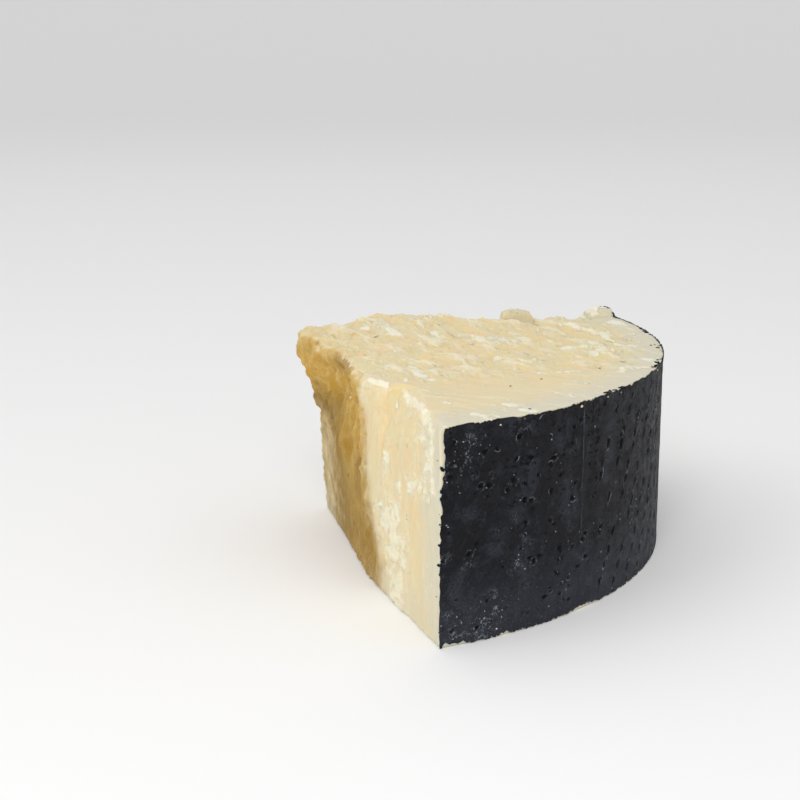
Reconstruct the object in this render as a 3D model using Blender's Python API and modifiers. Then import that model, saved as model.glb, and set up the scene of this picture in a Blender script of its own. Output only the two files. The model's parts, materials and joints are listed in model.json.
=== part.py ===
"""A chunk of pecorino romano: a quarter of a thick slab that was cut across the wheel.

Metres, +Z up. It is modelled with the wheel's axis at the origin and its flat cut face on the floor,
and is moved at the end, so that the middle of its base is the origin. The black rind is on its round
side (+X), the left side is the knife's cut, the far side is broken open, and the two meet at the axis.
"""

import math

import bmesh
import bpy
import numpy as np
from mathutils import Matrix, Vector, noise

# Driving dimensions
WHEEL_RADIUS = 0.151
WHEEL_TAPER = 0.0004  # the rind stands this much further out at the top than at the base
SLAB_HEIGHT = 0.070
FRONT_CORNER = Vector((0.0657, -0.1359, 0.0))  # where the knife's cut meets the rind
CUT_HEADING = math.radians(109.0)  # the left side runs this way from the front corner, seen from above
CUT_LENGTH = 0.157
APEX = Vector((0.0145, 0.0140, 0.0))  # the broken tip, near the wheel's axis
BREAK_HEADING = math.radians(22.3)  # the broken far side runs this way from the apex

# The knife left the cut face at a ridge, and the rest of the left side broke away behind it
RIDGE_FOOT = 0.060  # along the cut
RIDGE_SHIFT = (0.019, 0.008, 0.032)  # how much further back it stands, reached between these heights
RIDGE_LEAN = (0.017, 0.057, 0.072)  # how far it leans back on top, likewise
RIDGE_WAVER = (0.0022, 0.009)  # how far it wavers, and how long its waves are
TIP_SETBACK = 0.0111  # how far the broken part lies behind the cut, at the tip's foot
TIP_LEAN = 0.060  # how much less deep it is for each metre up
TIP_LIP = (0.047, 0.062)  # between these heights the tip comes out to the cut again

# Hollows broken out of the left side: along the cut, height, how deep, and half-sizes along and up
HOLLOWS = {
    "under_the_edge": (0.117, 0.0600, 0.0078, 0.0150, 0.0080),
    "beside_the_ridge": (0.093, 0.0500, 0.0042, 0.0190, 0.0150),
    "notch": (0.0845, 0.0440, 0.0042, 0.0042, 0.0052),
    "pit": (0.1240, 0.0625, 0.0018, 0.0028, 0.0028),
}
HOLLOW_WALL = 0.0045  # a hollow starts this steeply behind the ridge
WARP_REACH = 0.032  # the paste behind a hollow is moved too, down to this depth

# The edge between the cut and the top is lost: along the cut, and how far inside the cut it starts
EDGE_LOSS = (
    (-0.0040, 0.0008),
    (0.0015, 0.0012),
    (0.0170, 0.0036),
    (0.0250, 0.0050),
    (0.0380, 0.0086),
    (0.0520, 0.0118),
    (0.0570, 0.0116),
    (0.0605, 0.0060),
    (0.0660, 0.0034),
    (0.0720, 0.0022),
    (0.1000, 0.0030),
    (0.1340, 0.0030),
    (0.1480, 0.0012),
)
EDGE_LOSS_DROP = 2.2  # it goes down this many times as far as it goes in

# Lumps left standing on the far edge: along the break, in front of it, centre height, and half-sizes
LUMP_ROUNDNESS = 0.65  # 1 is round, and less is nearer a block
LUMP_SWELL = (0.12, 0.6)  # how uneven they are, and how wide their own bumps are
LUMPS = {
    "crag": (0.0903, 0.0050, 0.0686, (0.0062, 0.0042, 0.0057)),
    "bump": (0.1115, 0.0040, 0.0655, (0.0040, 0.0040, 0.0036)),
    "knob": (0.1285, 0.0060, 0.0672, (0.0056, 0.0048, 0.0055)),
}

# Relief of the top: a low hill by the far edge, a tooth on it, a nick, and dips beside the lumps
# Along the break, height, half-widths to each side, reach forward
HILL = (0.036, 0.0050, 0.028, 0.034, 0.030)
EDGE_BUMPS = (  # along the break, height, half-width, reach forward
    (0.0318, 0.0018, 0.0040, 0.010),
    (0.0055, 0.0018, 0.0060, 0.010),
    (0.0155, -0.0014, 0.0022, 0.006),
    (0.1030, -0.0019, 0.0060, 0.012),
    (0.1170, -0.0026, 0.0055, 0.014),
)
TOP_ZONE = (0.045, 0.066)  # the relief of the top starts between these heights
SCALLOP_HEADING = math.radians(-57.0)  # the torn scales of the top run this way
SCALLOPS = (0.0011, 0.011)  # their height and width
SCALLOP_LENGTH = 2.6  # times their width
TORN_INSIDE_CUT = (0.015, 0.048)  # the front of the top, along the cut's edge, was cut smooth
TORN_ALONG_CUT = (0.020, 0.070)
TORN_INSIDE_RIND = (0.002, 0.012)

# Relief of the sides: height of the lumps, and how wide they are
BREAK_LUMPS = (0.0028, 0.020)  # on the broken far side
CRUMBS = (0.0013, 0.009)  # in the hollows of the left side
CRUMB_ZONE = (0.026, 0.042)  # they start between these heights
CRUMB_START = (-0.004, 0.003)  # and this far past the ridge
CUT_WAVES = (0.0005, 0.030)

BASE_WEAR = 0.0016  # radius of the worn edge round the base
RIM_WEAR = 0.0009
CORNER_WEAR = 0.0009  # radius of the upright edge between the cut and the rind
BREAK_WEAR = 0.0012  # radius of the worn edge between the broken far side and the top

SKIN_DEPTH = 8  # the even skin has 2 to this power squares along the chunk
SKIN_SCALE = 0.72
MOST_TRIANGLES = 9800
WHEEL_SEGMENTS = 200
BALL_SUBDIVISIONS = 4
BELOW = 0.006  # the solid is made this much too deep, and then cut flat on the floor
CUTTER_SIZE = 0.30
TOLERANCE = 0.01

RIND_DEPTH = 0.004
PASTE_COLOR = (0.78, 0.62, 0.36, 1.0)
RIND_COLOR = (0.022, 0.022, 0.026, 1.0)

UP = Vector((0.0, 0.0, 1.0))
CUT_ALONG = Vector((math.cos(CUT_HEADING), math.sin(CUT_HEADING), 0.0))
CUT_OUT = Vector((-CUT_ALONG.y, CUT_ALONG.x, 0.0))
BREAK_ALONG = Vector((math.cos(BREAK_HEADING), math.sin(BREAK_HEADING), 0.0))
BREAK_OUT = Vector((-BREAK_ALONG.y, BREAK_ALONG.x, 0.0))


def clear_scene():
    for obj in list(bpy.data.objects):
        bpy.data.objects.remove(obj, do_unlink=True)


def new_collection(name, hidden=False):
    collection = bpy.data.collections.new(name)
    bpy.context.scene.collection.children.link(collection)
    collection.hide_render = hidden
    return collection


def add_object(name, bm, collection):
    mesh = bpy.data.meshes.new(name)
    bm.to_mesh(mesh)
    bm.free()
    obj = bpy.data.objects.new(name, mesh)
    collection.objects.link(obj)
    return obj


def as_cutter(obj):
    obj.hide_render = True
    obj.display_type = "WIRE"
    return obj


def applied(obj):
    """Its modifiers become its mesh."""
    graph = bpy.context.evaluated_depsgraph_get()
    mesh = bpy.data.meshes.new_from_object(obj.evaluated_get(graph))
    obj.modifiers.clear()
    old = obj.data
    obj.data = mesh
    bpy.data.meshes.remove(old)
    mesh.name = obj.name


def basis(along, out, origin):
    """A matrix whose X axis is along, and whose Y axis points out of the cheese."""
    matrix = Matrix((along, out, along.cross(out))).transposed().to_4x4()
    matrix.translation = origin
    return matrix


def wheel_slab(collection):
    bm = bmesh.new()
    height = SLAB_HEIGHT + BELOW
    bmesh.ops.create_cone(
        bm,
        cap_ends=True,
        segments=WHEEL_SEGMENTS,
        radius1=WHEEL_RADIUS - WHEEL_TAPER,
        radius2=WHEEL_RADIUS,
        depth=height,
        matrix=Matrix.Translation((0.0, 0.0, height / 2 - BELOW)),
    )
    return add_object("cheese_chunk", bm, collection)


def blade(name, along, out, point, collection):
    """A block whose near face is the cut: it takes away all that lies beyond it."""
    bm = bmesh.new()
    bmesh.ops.create_cube(bm, size=CUTTER_SIZE)
    bmesh.ops.scale(bm, verts=bm.verts, vec=(2.0, 1.0, 1.0))
    bmesh.ops.translate(bm, verts=bm.verts, vec=(0.0, CUTTER_SIZE / 2, 0.0))
    bmesh.ops.transform(bm, verts=bm.verts, matrix=basis(along, out, point))
    return as_cutter(add_object(name, bm, collection))


def lump(name, along, depth, height, half_sizes, collection):
    """A lumpy block with round corners, on the far edge."""
    point = APEX + BREAK_ALONG * along - BREAK_OUT * depth + UP * height
    bm = bmesh.new()
    bmesh.ops.create_icosphere(bm, subdivisions=BALL_SUBDIVISIONS, radius=1.0)
    amount, width = LUMP_SWELL
    for vert in bm.verts:
        swell = 1.0 + amount * noise.fractal(vert.co / width + point / half_sizes[0], 1.0, 2.0, 2)
        vert.co = Vector(
            math.copysign(abs(value) ** LUMP_ROUNDNESS, value) * size * swell
            for value, size in zip(vert.co, half_sizes)
        )
    bmesh.ops.transform(bm, verts=bm.verts, matrix=basis(BREAK_ALONG, BREAK_OUT, point))
    return as_cutter(add_object(name, bm, collection))


def combine(body, other, operation):
    boolean = body.modifiers.new(other.name, "BOOLEAN")
    boolean.operation = operation
    boolean.solver = "EXACT"
    boolean.object = other


def one_skin(body):
    """An even skin of small squares all over the solid, which the relief then moves."""
    skin = body.modifiers.new("skin", "REMESH")
    skin.mode = "SHARP"
    skin.octree_depth = SKIN_DEPTH
    skin.scale = SKIN_SCALE
    applied(body)


def mesh_arrays(mesh):
    points = np.empty(len(mesh.vertices) * 3)
    normals = np.empty(len(mesh.vertices) * 3)
    mesh.vertices.foreach_get("co", points)
    mesh.vertices.foreach_get("normal", normals)
    return points.reshape(-1, 3), normals.reshape(-1, 3)


def set_points(mesh, points):
    mesh.vertices.foreach_set("co", points.reshape(-1))
    mesh.update()


def lumps(points, sizes, octaves=2, stretch=(1.0, 1.0, 1.0)):
    """Smooth lumps of a height and a width, at each point."""
    height, width = sizes
    scaled = points / (width * np.array(stretch))
    return height * np.array([noise.fractal(Vector(point), 1.0, 2.1, octaves) for point in scaled])


def step(value, low, high):
    share = np.clip((value - low) / (high - low), 0.0, 1.0)
    return share * share * (3.0 - 2.0 * share)


def bell(value, width):
    return np.exp(-((value / width) ** 2))


def faces(normals, direction):
    """1 where the skin looks that way, 0 where it doesn't."""
    return step((normals * direction).sum(axis=1), 0.25, 0.75)


class Surroundings:
    """Where each point lies: along and inside the cut and the break, below the top, and inside the rind."""

    def __init__(self, points):
        flat = points - np.array(FRONT_CORNER)
        self.along_cut = flat @ np.array(CUT_ALONG)
        self.inside_cut = -(flat @ np.array(CUT_OUT))
        flat = points - np.array(APEX)
        self.along_break = flat @ np.array(BREAK_ALONG)
        self.inside_break = -(flat @ np.array(BREAK_OUT))
        self.height = points[:, 2]
        self.below_top = SLAB_HEIGHT - self.height
        taper = WHEEL_TAPER * (1.0 - self.height / SLAB_HEIGHT)
        self.inside_rind = WHEEL_RADIUS - taper - np.hypot(points[:, 0], points[:, 1])


def wear(points, first, second, sloping=False):
    """Wears an edge away. Each face is given as the points' depth inside it, its direction, and the reach.

    The worn surface is round, or where sloping it runs smoothly into the first face and ends at the
    second.
    """
    near = [1.0 - depth / reach for depth, _, reach in (first, second)]
    at_edge = (np.minimum(*near) > 0.0) & (np.maximum(*near) < 1.0 + TOLERANCE)
    near = [np.maximum(value, TOLERANCE) for value in near]
    if sloping:
        square = near[1] * near[1]
        shrink = (np.sqrt(near[0] * near[0] + 4.0 * square) - near[0]) / (2.0 * square)
    else:
        shrink = 1.0 / np.hypot(near[0], near[1])
    moved = np.where(at_edge & (shrink < 1.0), shrink - 1.0, 0.0)
    for value, (_, outward, reach) in zip(near, (first, second)):
        points += outward * (value * moved * reach)[:, None]


def wear_edges(mesh):
    """Rounds the solid's own edges: that of the cut and the top is lost the most."""
    points, normals = mesh_arrays(mesh)
    up = np.array(UP)
    cut_out = np.array(CUT_OUT)
    radial = points * np.array((1.0, 1.0, 0.0))
    radial /= np.linalg.norm(radial, axis=1)[:, None]

    place = Surroundings(points)
    loss = np.interp(place.along_cut, *zip(*EDGE_LOSS))
    cut = (place.inside_cut, cut_out, loss)
    wear(points, cut, (place.below_top, up, loss * EDGE_LOSS_DROP), sloping=True)
    far = (place.inside_break, np.array(BREAK_OUT), BREAK_WEAR)
    wear(points, far, (place.below_top, up, BREAK_WEAR))
    place = Surroundings(points)
    wear(points, (place.inside_rind, radial, RIM_WEAR), (place.below_top, up, RIM_WEAR))
    place = Surroundings(points)
    wear(points, (place.inside_rind, radial, CORNER_WEAR), (place.inside_cut, cut_out, CORNER_WEAR))

    low = np.clip((BASE_WEAR - place.height) / BASE_WEAR, 0.0, 1.0)
    inset = BASE_WEAR * (1.0 - np.sqrt(1.0 - low * low))
    for outward in (cut_out, radial):
        points -= outward * (inset * faces(normals, outward))[:, None]
    set_points(mesh, points)


def past_ridge(place):
    """How far each point lies past the ridge, along the cut."""
    shift, low, high = RIDGE_SHIFT
    ridge = RIDGE_FOOT + shift * step(place.height, low, high)
    lean, low, high = RIDGE_LEAN
    return place.along_cut - ridge - lean * step(place.height, low, high)


def setback(place, waver):
    """How far the left side lies behind the knife's cut."""
    past = past_ridge(place) + waver
    share = np.clip(past / (CUT_LENGTH - (place.along_cut - past)), 0.0, 1.0)
    lip = 1.0 - step(place.height, *TIP_LIP)
    total = (TIP_SETBACK - TIP_LEAN * place.height) * lip * share
    for along, height, depth, half_along, half_up in HOLLOWS.values():
        reach = bell(place.along_cut - along, half_along) * bell(place.height - height, half_up)
        total += depth * reach * step(past, 0.0, HOLLOW_WALL)
    return total


def break_left_side(mesh):
    """Moves the broken part of the left side back from the cut, and what lies behind it less and less."""
    points, _ = mesh_arrays(mesh)
    place = Surroundings(points)
    fade = 1.0 - np.clip(place.inside_cut / WARP_REACH, 0.0, 1.0)
    moved = setback(place, lumps(points, RIDGE_WAVER)) * fade * fade
    points -= np.outer(moved, np.array(CUT_OUT))
    set_points(mesh, points)


def top_rise(place):
    """How far the top stands over SLAB_HEIGHT."""
    centre, height, left, right, forward = HILL
    offset = place.along_break - centre
    width = np.where(offset < 0, left, right)
    rise = height * bell(offset, width) * bell(place.inside_break, forward)
    for centre, height, width, forward in EDGE_BUMPS:
        rise += height * bell(place.along_break - centre, width) * bell(place.inside_break, forward)
    return rise


def scallops(points, place):
    """Long shallow scales, torn the way the knife ran; none on the smooth band or by the rind."""
    turn = Matrix.Rotation(-SCALLOP_HEADING, 3, "Z")
    flat = (points @ np.array(turn).T) * np.array((1.0, 1.0, 0.0))
    torn = step(place.inside_cut, *TORN_INSIDE_CUT) * step(place.along_cut, *TORN_ALONG_CUT)
    torn *= step(place.inside_rind, *TORN_INSIDE_RIND)
    return lumps(flat, SCALLOPS, 2, (SCALLOP_LENGTH, 1.0, 1.0)) * torn


def relief(mesh):
    """Moves the skin's points: each face by its own relief, along its own direction."""
    points, normals = mesh_arrays(mesh)
    place = Surroundings(points)
    points[:, 2] += (top_rise(place) + scallops(points, place)) * step(place.height, *TOP_ZONE)

    broken = lumps(points, BREAK_LUMPS, 3) * step(place.inside_rind, 0.0, BREAK_LUMPS[1] / 2)
    points += np.outer(broken * faces(normals, np.array(BREAK_OUT)), np.array(BREAK_OUT))

    rough = step(past_ridge(place), *CRUMB_START) * step(place.height, *CRUMB_ZONE)
    uneven = lumps(points, CRUMBS, 3) * rough + lumps(points, CUT_WAVES, 2, (1.0, 1.0, 2.0)) * (1.0 - rough)
    points += np.outer(uneven * faces(normals, np.array(CUT_OUT)), np.array(CUT_OUT))
    set_points(mesh, points)


def cut_flat(mesh):
    """The base: all below the floor goes, and one flat face closes the solid."""
    bm = bmesh.new()
    bm.from_mesh(mesh)
    everything = bm.verts[:] + bm.edges[:] + bm.faces[:]
    cut = bmesh.ops.bisect_plane(bm, geom=everything, plane_co=FRONT_CORNER, plane_no=-UP, clear_outer=True)
    rim = [item for item in cut["geom_cut"] if isinstance(item, bmesh.types.BMEdge)]
    bmesh.ops.contextual_create(bm, geom=rim)
    bm.to_mesh(mesh)
    bm.free()


def thin_out(body, most_triangles):
    """Fewer triangles, where the shape allows it."""
    body.data.calc_loop_triangles()
    fewer = body.modifiers.new("fewer", "DECIMATE")
    fewer.decimate_type = "COLLAPSE"
    fewer.ratio = most_triangles / len(body.data.loop_triangles)
    fewer.use_collapse_triangulate = True
    applied(body)


def centre_on_base(mesh):
    points, _ = mesh_arrays(mesh)
    middle = (points.min(axis=0) + points.max(axis=0)) / 2
    mesh.transform(Matrix.Translation((-middle[0], -middle[1], 0.0)))


def principled(name, color, roughness):
    material = bpy.data.materials.new(name)
    material.use_nodes = True
    shader = material.node_tree.nodes["Principled BSDF"]
    shader.inputs["Base Color"].default_value = color
    shader.inputs["Roughness"].default_value = roughness
    material.diffuse_color = color
    return material


def paint(body):
    """Paste all over, and rind on the faces that look away from the wheel's axis on its round side."""
    body.data.materials.append(principled("paste", PASTE_COLOR, 0.55))
    body.data.materials.append(principled("rind", RIND_COLOR, 0.6))
    for face in body.data.polygons:
        across = Vector((face.center.x, face.center.y, 0.0))
        on_rim = across.length > WHEEL_RADIUS - RIND_DEPTH
        looks_out = face.normal.dot(across.normalized()) > math.cos(math.radians(45.0))
        face.material_index = int(on_rim and looks_out)


def build():
    clear_scene()
    parts = new_collection("pecorino_romano_chunk")
    tools = new_collection("cutters", hidden=True)
    body = wheel_slab(parts)
    combine(body, blade("knife_cut", CUT_ALONG, CUT_OUT, FRONT_CORNER, tools), "DIFFERENCE")
    combine(body, blade("break", BREAK_ALONG, BREAK_OUT, APEX, tools), "DIFFERENCE")
    for name, sizes in LUMPS.items():
        combine(body, lump(name, *sizes, tools), "UNION")
    applied(body)
    one_skin(body)
    wear_edges(body.data)
    break_left_side(body.data)
    relief(body.data)
    thin_out(body, MOST_TRIANGLES)
    cut_flat(body.data)
    paint(body)
    centre_on_base(body.data)
    body.data.shade_smooth()
    body.data.set_sharp_from_angle(angle=math.radians(35.0))


build()
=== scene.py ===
"""The looks of a chunk of pecorino romano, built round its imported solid.

Metres, +Z up. The pieces are shaped with the wheel's axis at the origin, and then moved into the
part's frame, whose origin is the middle of the flat base. The black rind is on the round side (+X), the
left side is the knife's cut, the far side is broken open, and the two meet at the wheel's axis.
"""

import json
import math
import random

import bmesh
import bpy
import numpy as np
from mathutils import Matrix, Vector, noise
from mathutils.bvhtree import BVHTree

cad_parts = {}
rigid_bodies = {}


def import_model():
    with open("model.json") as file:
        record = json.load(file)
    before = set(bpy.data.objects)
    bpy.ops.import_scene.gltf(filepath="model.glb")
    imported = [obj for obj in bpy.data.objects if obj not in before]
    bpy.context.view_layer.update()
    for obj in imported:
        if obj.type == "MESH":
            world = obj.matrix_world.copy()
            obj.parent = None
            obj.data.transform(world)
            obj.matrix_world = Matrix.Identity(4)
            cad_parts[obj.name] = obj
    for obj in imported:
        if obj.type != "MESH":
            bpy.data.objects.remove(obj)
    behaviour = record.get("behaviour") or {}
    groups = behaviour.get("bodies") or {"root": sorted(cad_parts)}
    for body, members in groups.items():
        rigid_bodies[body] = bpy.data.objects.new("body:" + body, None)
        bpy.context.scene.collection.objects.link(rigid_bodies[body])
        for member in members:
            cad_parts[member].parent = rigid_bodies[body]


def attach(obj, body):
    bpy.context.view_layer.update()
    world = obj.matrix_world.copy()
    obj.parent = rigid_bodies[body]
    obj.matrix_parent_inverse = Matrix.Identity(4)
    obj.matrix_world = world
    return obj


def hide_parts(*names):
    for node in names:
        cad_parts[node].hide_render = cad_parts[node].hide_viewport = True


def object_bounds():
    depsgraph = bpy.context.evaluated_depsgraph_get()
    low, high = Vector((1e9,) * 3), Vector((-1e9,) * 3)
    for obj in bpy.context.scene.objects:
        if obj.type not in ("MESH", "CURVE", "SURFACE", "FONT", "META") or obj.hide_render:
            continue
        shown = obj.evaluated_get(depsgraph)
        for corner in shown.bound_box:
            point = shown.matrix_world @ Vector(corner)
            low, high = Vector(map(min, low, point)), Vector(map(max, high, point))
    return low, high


bl_info = {
    "name": "Pecorino Romano Chunk",
    "version": (1, 0, 0),
    "blender": (4, 5, 0),
    "location": "View3D > Sidebar > Cheese",
    "description": "Paste, black rind coat, flakes and crumbs of a chunk of hard sheep's milk cheese",
    "category": "Add Mesh",
}

for leftover in list(bpy.data.objects):
    bpy.data.objects.remove(leftover, do_unlink=True)
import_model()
CAD_LOW, CAD_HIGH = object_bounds()

# The chunk's own sizes, as its solid has them
WHEEL_RADIUS = 0.151
WHEEL_TAPER = 0.0004  # the rind stands this much further out at the top than at the base
SLAB_HEIGHT = 0.070
FRONT_CORNER = Vector((0.0657, -0.1359, 0.0))  # where the knife's cut meets the rind
CORNER_WORN = 0.0002  # the solid's worn front corner lies this much inside the sharp one
CUT_HEADING = math.radians(109.0)
CUT_LENGTH = 0.157
APEX = Vector((0.0145, 0.0140, 0.0))
BREAK_HEADING = math.radians(22.3)

# The ridge where the knife left the cut face, and the broken part behind it
RIDGE_FOOT = 0.0665
RIDGE_SHIFT = (0.0125, 0.008, 0.032)
RIDGE_LEAN = (0.017, 0.057, 0.072)
RIDGE_WAVER = (0.0022, 0.009)
RIDGE_TEETH = (0.0007, 0.0028)  # finer wavers of the ridge
# Height, and how round the ridge is there
RIDGE_SOFTNESS = ((0.0, 0.003), (0.008, 0.012), (0.026, 0.014), (0.037, 0.003), (0.076, 0.002))
SMOOTH_RIDGE = (0.048, 0.058)  # between these heights its finer wavers end
TIP_SETBACK = 0.0111
TIP_LEAN = 0.060
TIP_LIP = (0.047, 0.062)

# Hollows: along the cut, height, how deep, and half-sizes along and up
HOLLOWS = {
    "under_the_edge": (0.117, 0.0600, 0.0078, 0.0150, 0.0080),
    "beside_the_ridge": (0.093, 0.0500, 0.0042, 0.0190, 0.0150),
    "notch": (0.0845, 0.0440, 0.0042, 0.0042, 0.0052),
    "pit": (0.1240, 0.0625, 0.0018, 0.0028, 0.0028),
}
HOLLOW_WALL = 0.0045
WARP_REACH = 0.032  # how deep inside the cut the paste gives way behind it
# Where the lip over the hollow is rounded: along the cut, above a height, and inside the cut
ROLLED_ALONG = (0.074, 0.086)
ROLLED_ABOVE = (0.056, 0.064)
ROLLED_INSIDE = (0.010, 0.018)
ROLLED_ROUNDS = 22
ROLLED_STRENGTH = 0.5

# The edge between the cut and the top is lost: along the cut, and how far inside the cut it starts
EDGE_LOSS = (
    (-0.0040, 0.0008),
    (0.0015, 0.0012),
    (0.0170, 0.0036),
    (0.0250, 0.0050),
    (0.0380, 0.0086),
    (0.0520, 0.0118),
    (0.0570, 0.0116),
    (0.0605, 0.0060),
    (0.0660, 0.0034),
    (0.0720, 0.0022),
    (0.1000, 0.0030),
    (0.1340, 0.0030),
    (0.1480, 0.0012),
)
EDGE_LOSS_DROP = 2.2  # it starts this many times further down the cut than inside it

# Lumps on the far edge: along the break, in front of it, centre height, and half-sizes
LUMP_ROUNDNESS = 0.48  # 1 is an ellipsoid, and less is more like a block
LUMP_SWELL = (0.09, 0.6)
LUMPS = {
    "crag": (0.0903, 0.0050, 0.0686, (0.0062, 0.0042, 0.0057)),
    "bump": (0.1115, 0.0040, 0.0655, (0.0040, 0.0040, 0.0036)),
    "knob": (0.1285, 0.0060, 0.0672, (0.0060, 0.0050, 0.0055)),
}

# Relief of the top, as the solid has it
# A hill: along the break, height, half-widths to the left and the right, and how far forward it runs
HILL = (0.036, 0.0050, 0.028, 0.034, 0.030)
# Bumps and dips of the far edge: along the break, height, half-width, and how far forward they run
EDGE_BUMPS = (
    (0.0318, 0.0018, 0.0040, 0.010),
    (0.0055, 0.0018, 0.0060, 0.010),
    (0.0155, -0.0014, 0.0022, 0.006),
    (0.1030, -0.0019, 0.0060, 0.012),
    (0.1170, -0.0026, 0.0055, 0.014),
)
TOP_ZONE = (0.045, 0.066)  # the top's relief fades downwards in these heights
SCALLOP_HEADING = math.radians(-57.0)
SCALLOPS = (0.0011, 0.011)
SCALLOP_LENGTH = 2.6
TORN_INSIDE_CUT = (0.015, 0.048)
TORN_ALONG_CUT = (0.020, 0.070)
TORN_INSIDE_RIND = (0.002, 0.012)

# Relief of the sides, as the solid has it
BREAK_LUMPS = (0.0028, 0.020)
CRUMBS = (0.0013, 0.009)
CRUMB_ZONE = (0.026, 0.042)  # the broken side is crumbly above this height
CRUMB_START = (-0.004, 0.003)  # past the ridge
CUT_WAVES = (0.0005, 0.030)

# How far the edges are worn round
BASE_WEAR = 0.0016
BASE_WEAR_ROUND = 0.45  # the share of it on the round side
RIM_WEAR = 0.0004
CORNER_WEAR = 0.0009
BREAK_WEAR = 0.0012

# Finer relief, which only the looks have: height, and width
FLAKING_INSIDE_CUT = (-0.001, 0.012)
FLAKING_ALONG_CUT = (0.040, 0.078)
TOP_LAYERS = (0.0016, 0.0060)
TOP_LAYER_STEP = 0.00048
TOP_GRAIN = (0.00032, 0.0020)
EDGE_CHIPS = (0.0013, 0.0075)  # where the edge between the cut and the top is lost
EDGE_CHIP_STEP = 0.00030
CHIPS_PAST_RIDGE = (0.75, -0.004, 0.006)  # the share of them lost past the ridge, and from where
CUT_SMEARS = (0.00050, 0.0050)
CUT_SMEAR_STEP = 0.00018
HOLLOW_LOBES = (0.0022, 0.0085)
TIP_LUMPS = (0.0016, 0.0070)  # on the lip over the hollow
TIP_ALONG = (0.002, 0.014)
TIP_ABOVE = (0.054, 0.063)
TIP_INSIDE = (0.010, 0.020)
FINE_CRUMBS = (0.0006, 0.0036)
LOW_GRAIN = (0.00042, 0.0038)  # where the broken side is smoother
GRAIN_START = (-0.002, 0.010)  # past the ridge
SMEARS_END = (-0.002, 0.004)
BAND_CRUMBS = (0.0009, 0.0026)  # the ragged whitish band on the cut
BREAK_CRAGS = (0.0014, 0.0065)
BREAK_CRAG_STEP = 0.00055
BREAK_CRUMBS = (0.0007, 0.0022)
LAYER_SLOPE = 0.3  # the share of a layer's height in which its edge rises

# Smears of whitish paste on the top: middle, half-length, half-width, and heading in degrees
TOP_SMEARS = (
    ((0.0824, 0.0005), 0.0110, 0.0026, -70.0),
    ((0.0914, 0.0005), 0.0085, 0.0036, -52.0),
    ((0.0973, -0.0378), 0.0050, 0.0020, -42.0),
    ((0.1006, -0.0597), 0.0036, 0.0016, -40.0),
    ((0.1184, -0.0152), 0.0078, 0.0026, 40.0),
    ((0.1301, -0.0138), 0.0050, 0.0020, -50.0),
    ((0.1240, -0.0223), 0.0048, 0.0022, 70.0),
    ((0.1122, -0.0549), 0.0040, 0.0020, 20.0),
    ((0.1321, -0.0534), 0.0075, 0.0032, 46.0),
    ((0.1418, -0.0361), 0.0066, 0.0022, -66.0),
    ((0.1048, -0.0906), 0.0034, 0.0016, -30.0),
    ((0.1132, -0.0755), 0.0030, 0.0013, -50.0),
    ((0.0876, -0.1076), 0.0056, 0.0024, -25.0),
    ((0.0950, -0.1154), 0.0052, 0.0020, -28.0),
    ((0.0787, -0.1210), 0.0044, 0.0024, -32.0),
    ((0.0687, -0.1043), 0.0022, 0.0012, -36.0),
    ((0.0877, -0.0320), 0.0034, 0.0010, -68.0),
    ((0.0606, 0.0191), 0.0058, 0.0020, -74.0),
    ((0.0400, 0.0113), 0.0036, 0.0015, -60.0),
    ((0.0508, 0.0045), 0.0098, 0.0024, -66.0),
    ((0.0670, 0.0035), 0.0064, 0.0011, -80.0),
    ((0.0587, -0.0548), 0.0090, 0.0020, -76.0),
    ((0.1350, 0.0590), 0.0080, 0.0050, 22.0),
    ((0.1395, 0.0400), 0.0080, 0.0022, -70.0),
    ((0.0640, -0.0690), 0.0070, 0.0014, -20.0),
)
# Lines of whitish paste on the top: half-width, and route
TOP_LINES = (
    (0.0016, ((0.1170, 0.0330), (0.1211, 0.0283), (0.1316, 0.0082), (0.1342, -0.0069), (0.1396, -0.0138))),
    (0.0012, ((0.0405, -0.0622), (0.0453, -0.0704), (0.0493, -0.0753))),
    (0.0012, ((0.0555, -0.0790), (0.0575, -0.0865), (0.0598, -0.1004), (0.0619, -0.1170))),
)

# Smears on the knife's cut: along the cut, height, half-sizes along and up, and tilt in degrees
CUT_SMEARS_SHOWN = (
    (0.0370, 0.0425, 0.0022, 0.0028, -20.0),
    (0.0256, 0.0454, 0.0046, 0.0040, 0.0),
    (0.0152, 0.0473, 0.0040, 0.0026, 0.0),
    (0.0505, 0.0465, 0.0026, 0.0048, 10.0),
    (0.0480, 0.0290, 0.0130, 0.0070, -14.0),
    (0.0420, 0.0185, 0.0105, 0.0080, -18.0),
    (0.0385, 0.0060, 0.0062, 0.0085, 0.0),
    (0.0105, 0.0570, 0.0036, 0.0050, 0.0),
    (0.0185, 0.0670, 0.0050, 0.0060, 20.0),
)
# Slots in the cut: along it, height, and half-sizes along and up
CUT_SLOTS = (
    (0.0513, 0.0402, 0.0009, 0.0026),
    (0.0347, 0.0145, 0.0008, 0.0052),
    (0.0411, 0.0543, 0.0007, 0.0013),
)
SLOT_DEPTH = 0.0011
SMEAR_HEIGHT = 0.00034
SMEAR_RAGS = (1.15, 0.0024)  # how far a smear's outline strays, as a share of its half-width, and how finely
LINE_RAGS = 0.20  # a line's strays less
# A line on the cut: along it, and height
PALE_LINE = ((0.0125, 0.0690), (0.0084, 0.0670), (0.0075, 0.0610), (0.0078, 0.0550), (0.0060, 0.0480))
PALE_LINE_HALF_WIDTH = 0.0014

# The coat: how thick it is at its edges and elsewhere, and how far from an edge it thickens
EDGE_THICKNESS = 0.00035
BODY_THICKNESS = 0.0012
THICKENS_WITHIN = (0.0006, 0.0026)
INSIDE_THICKENS = (0.0003, 0.0020)
INSIDE_SINKS = (0.0001, 0.0002)  # its inside lies in the paste: at the edges, and how much more elsewhere
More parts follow.
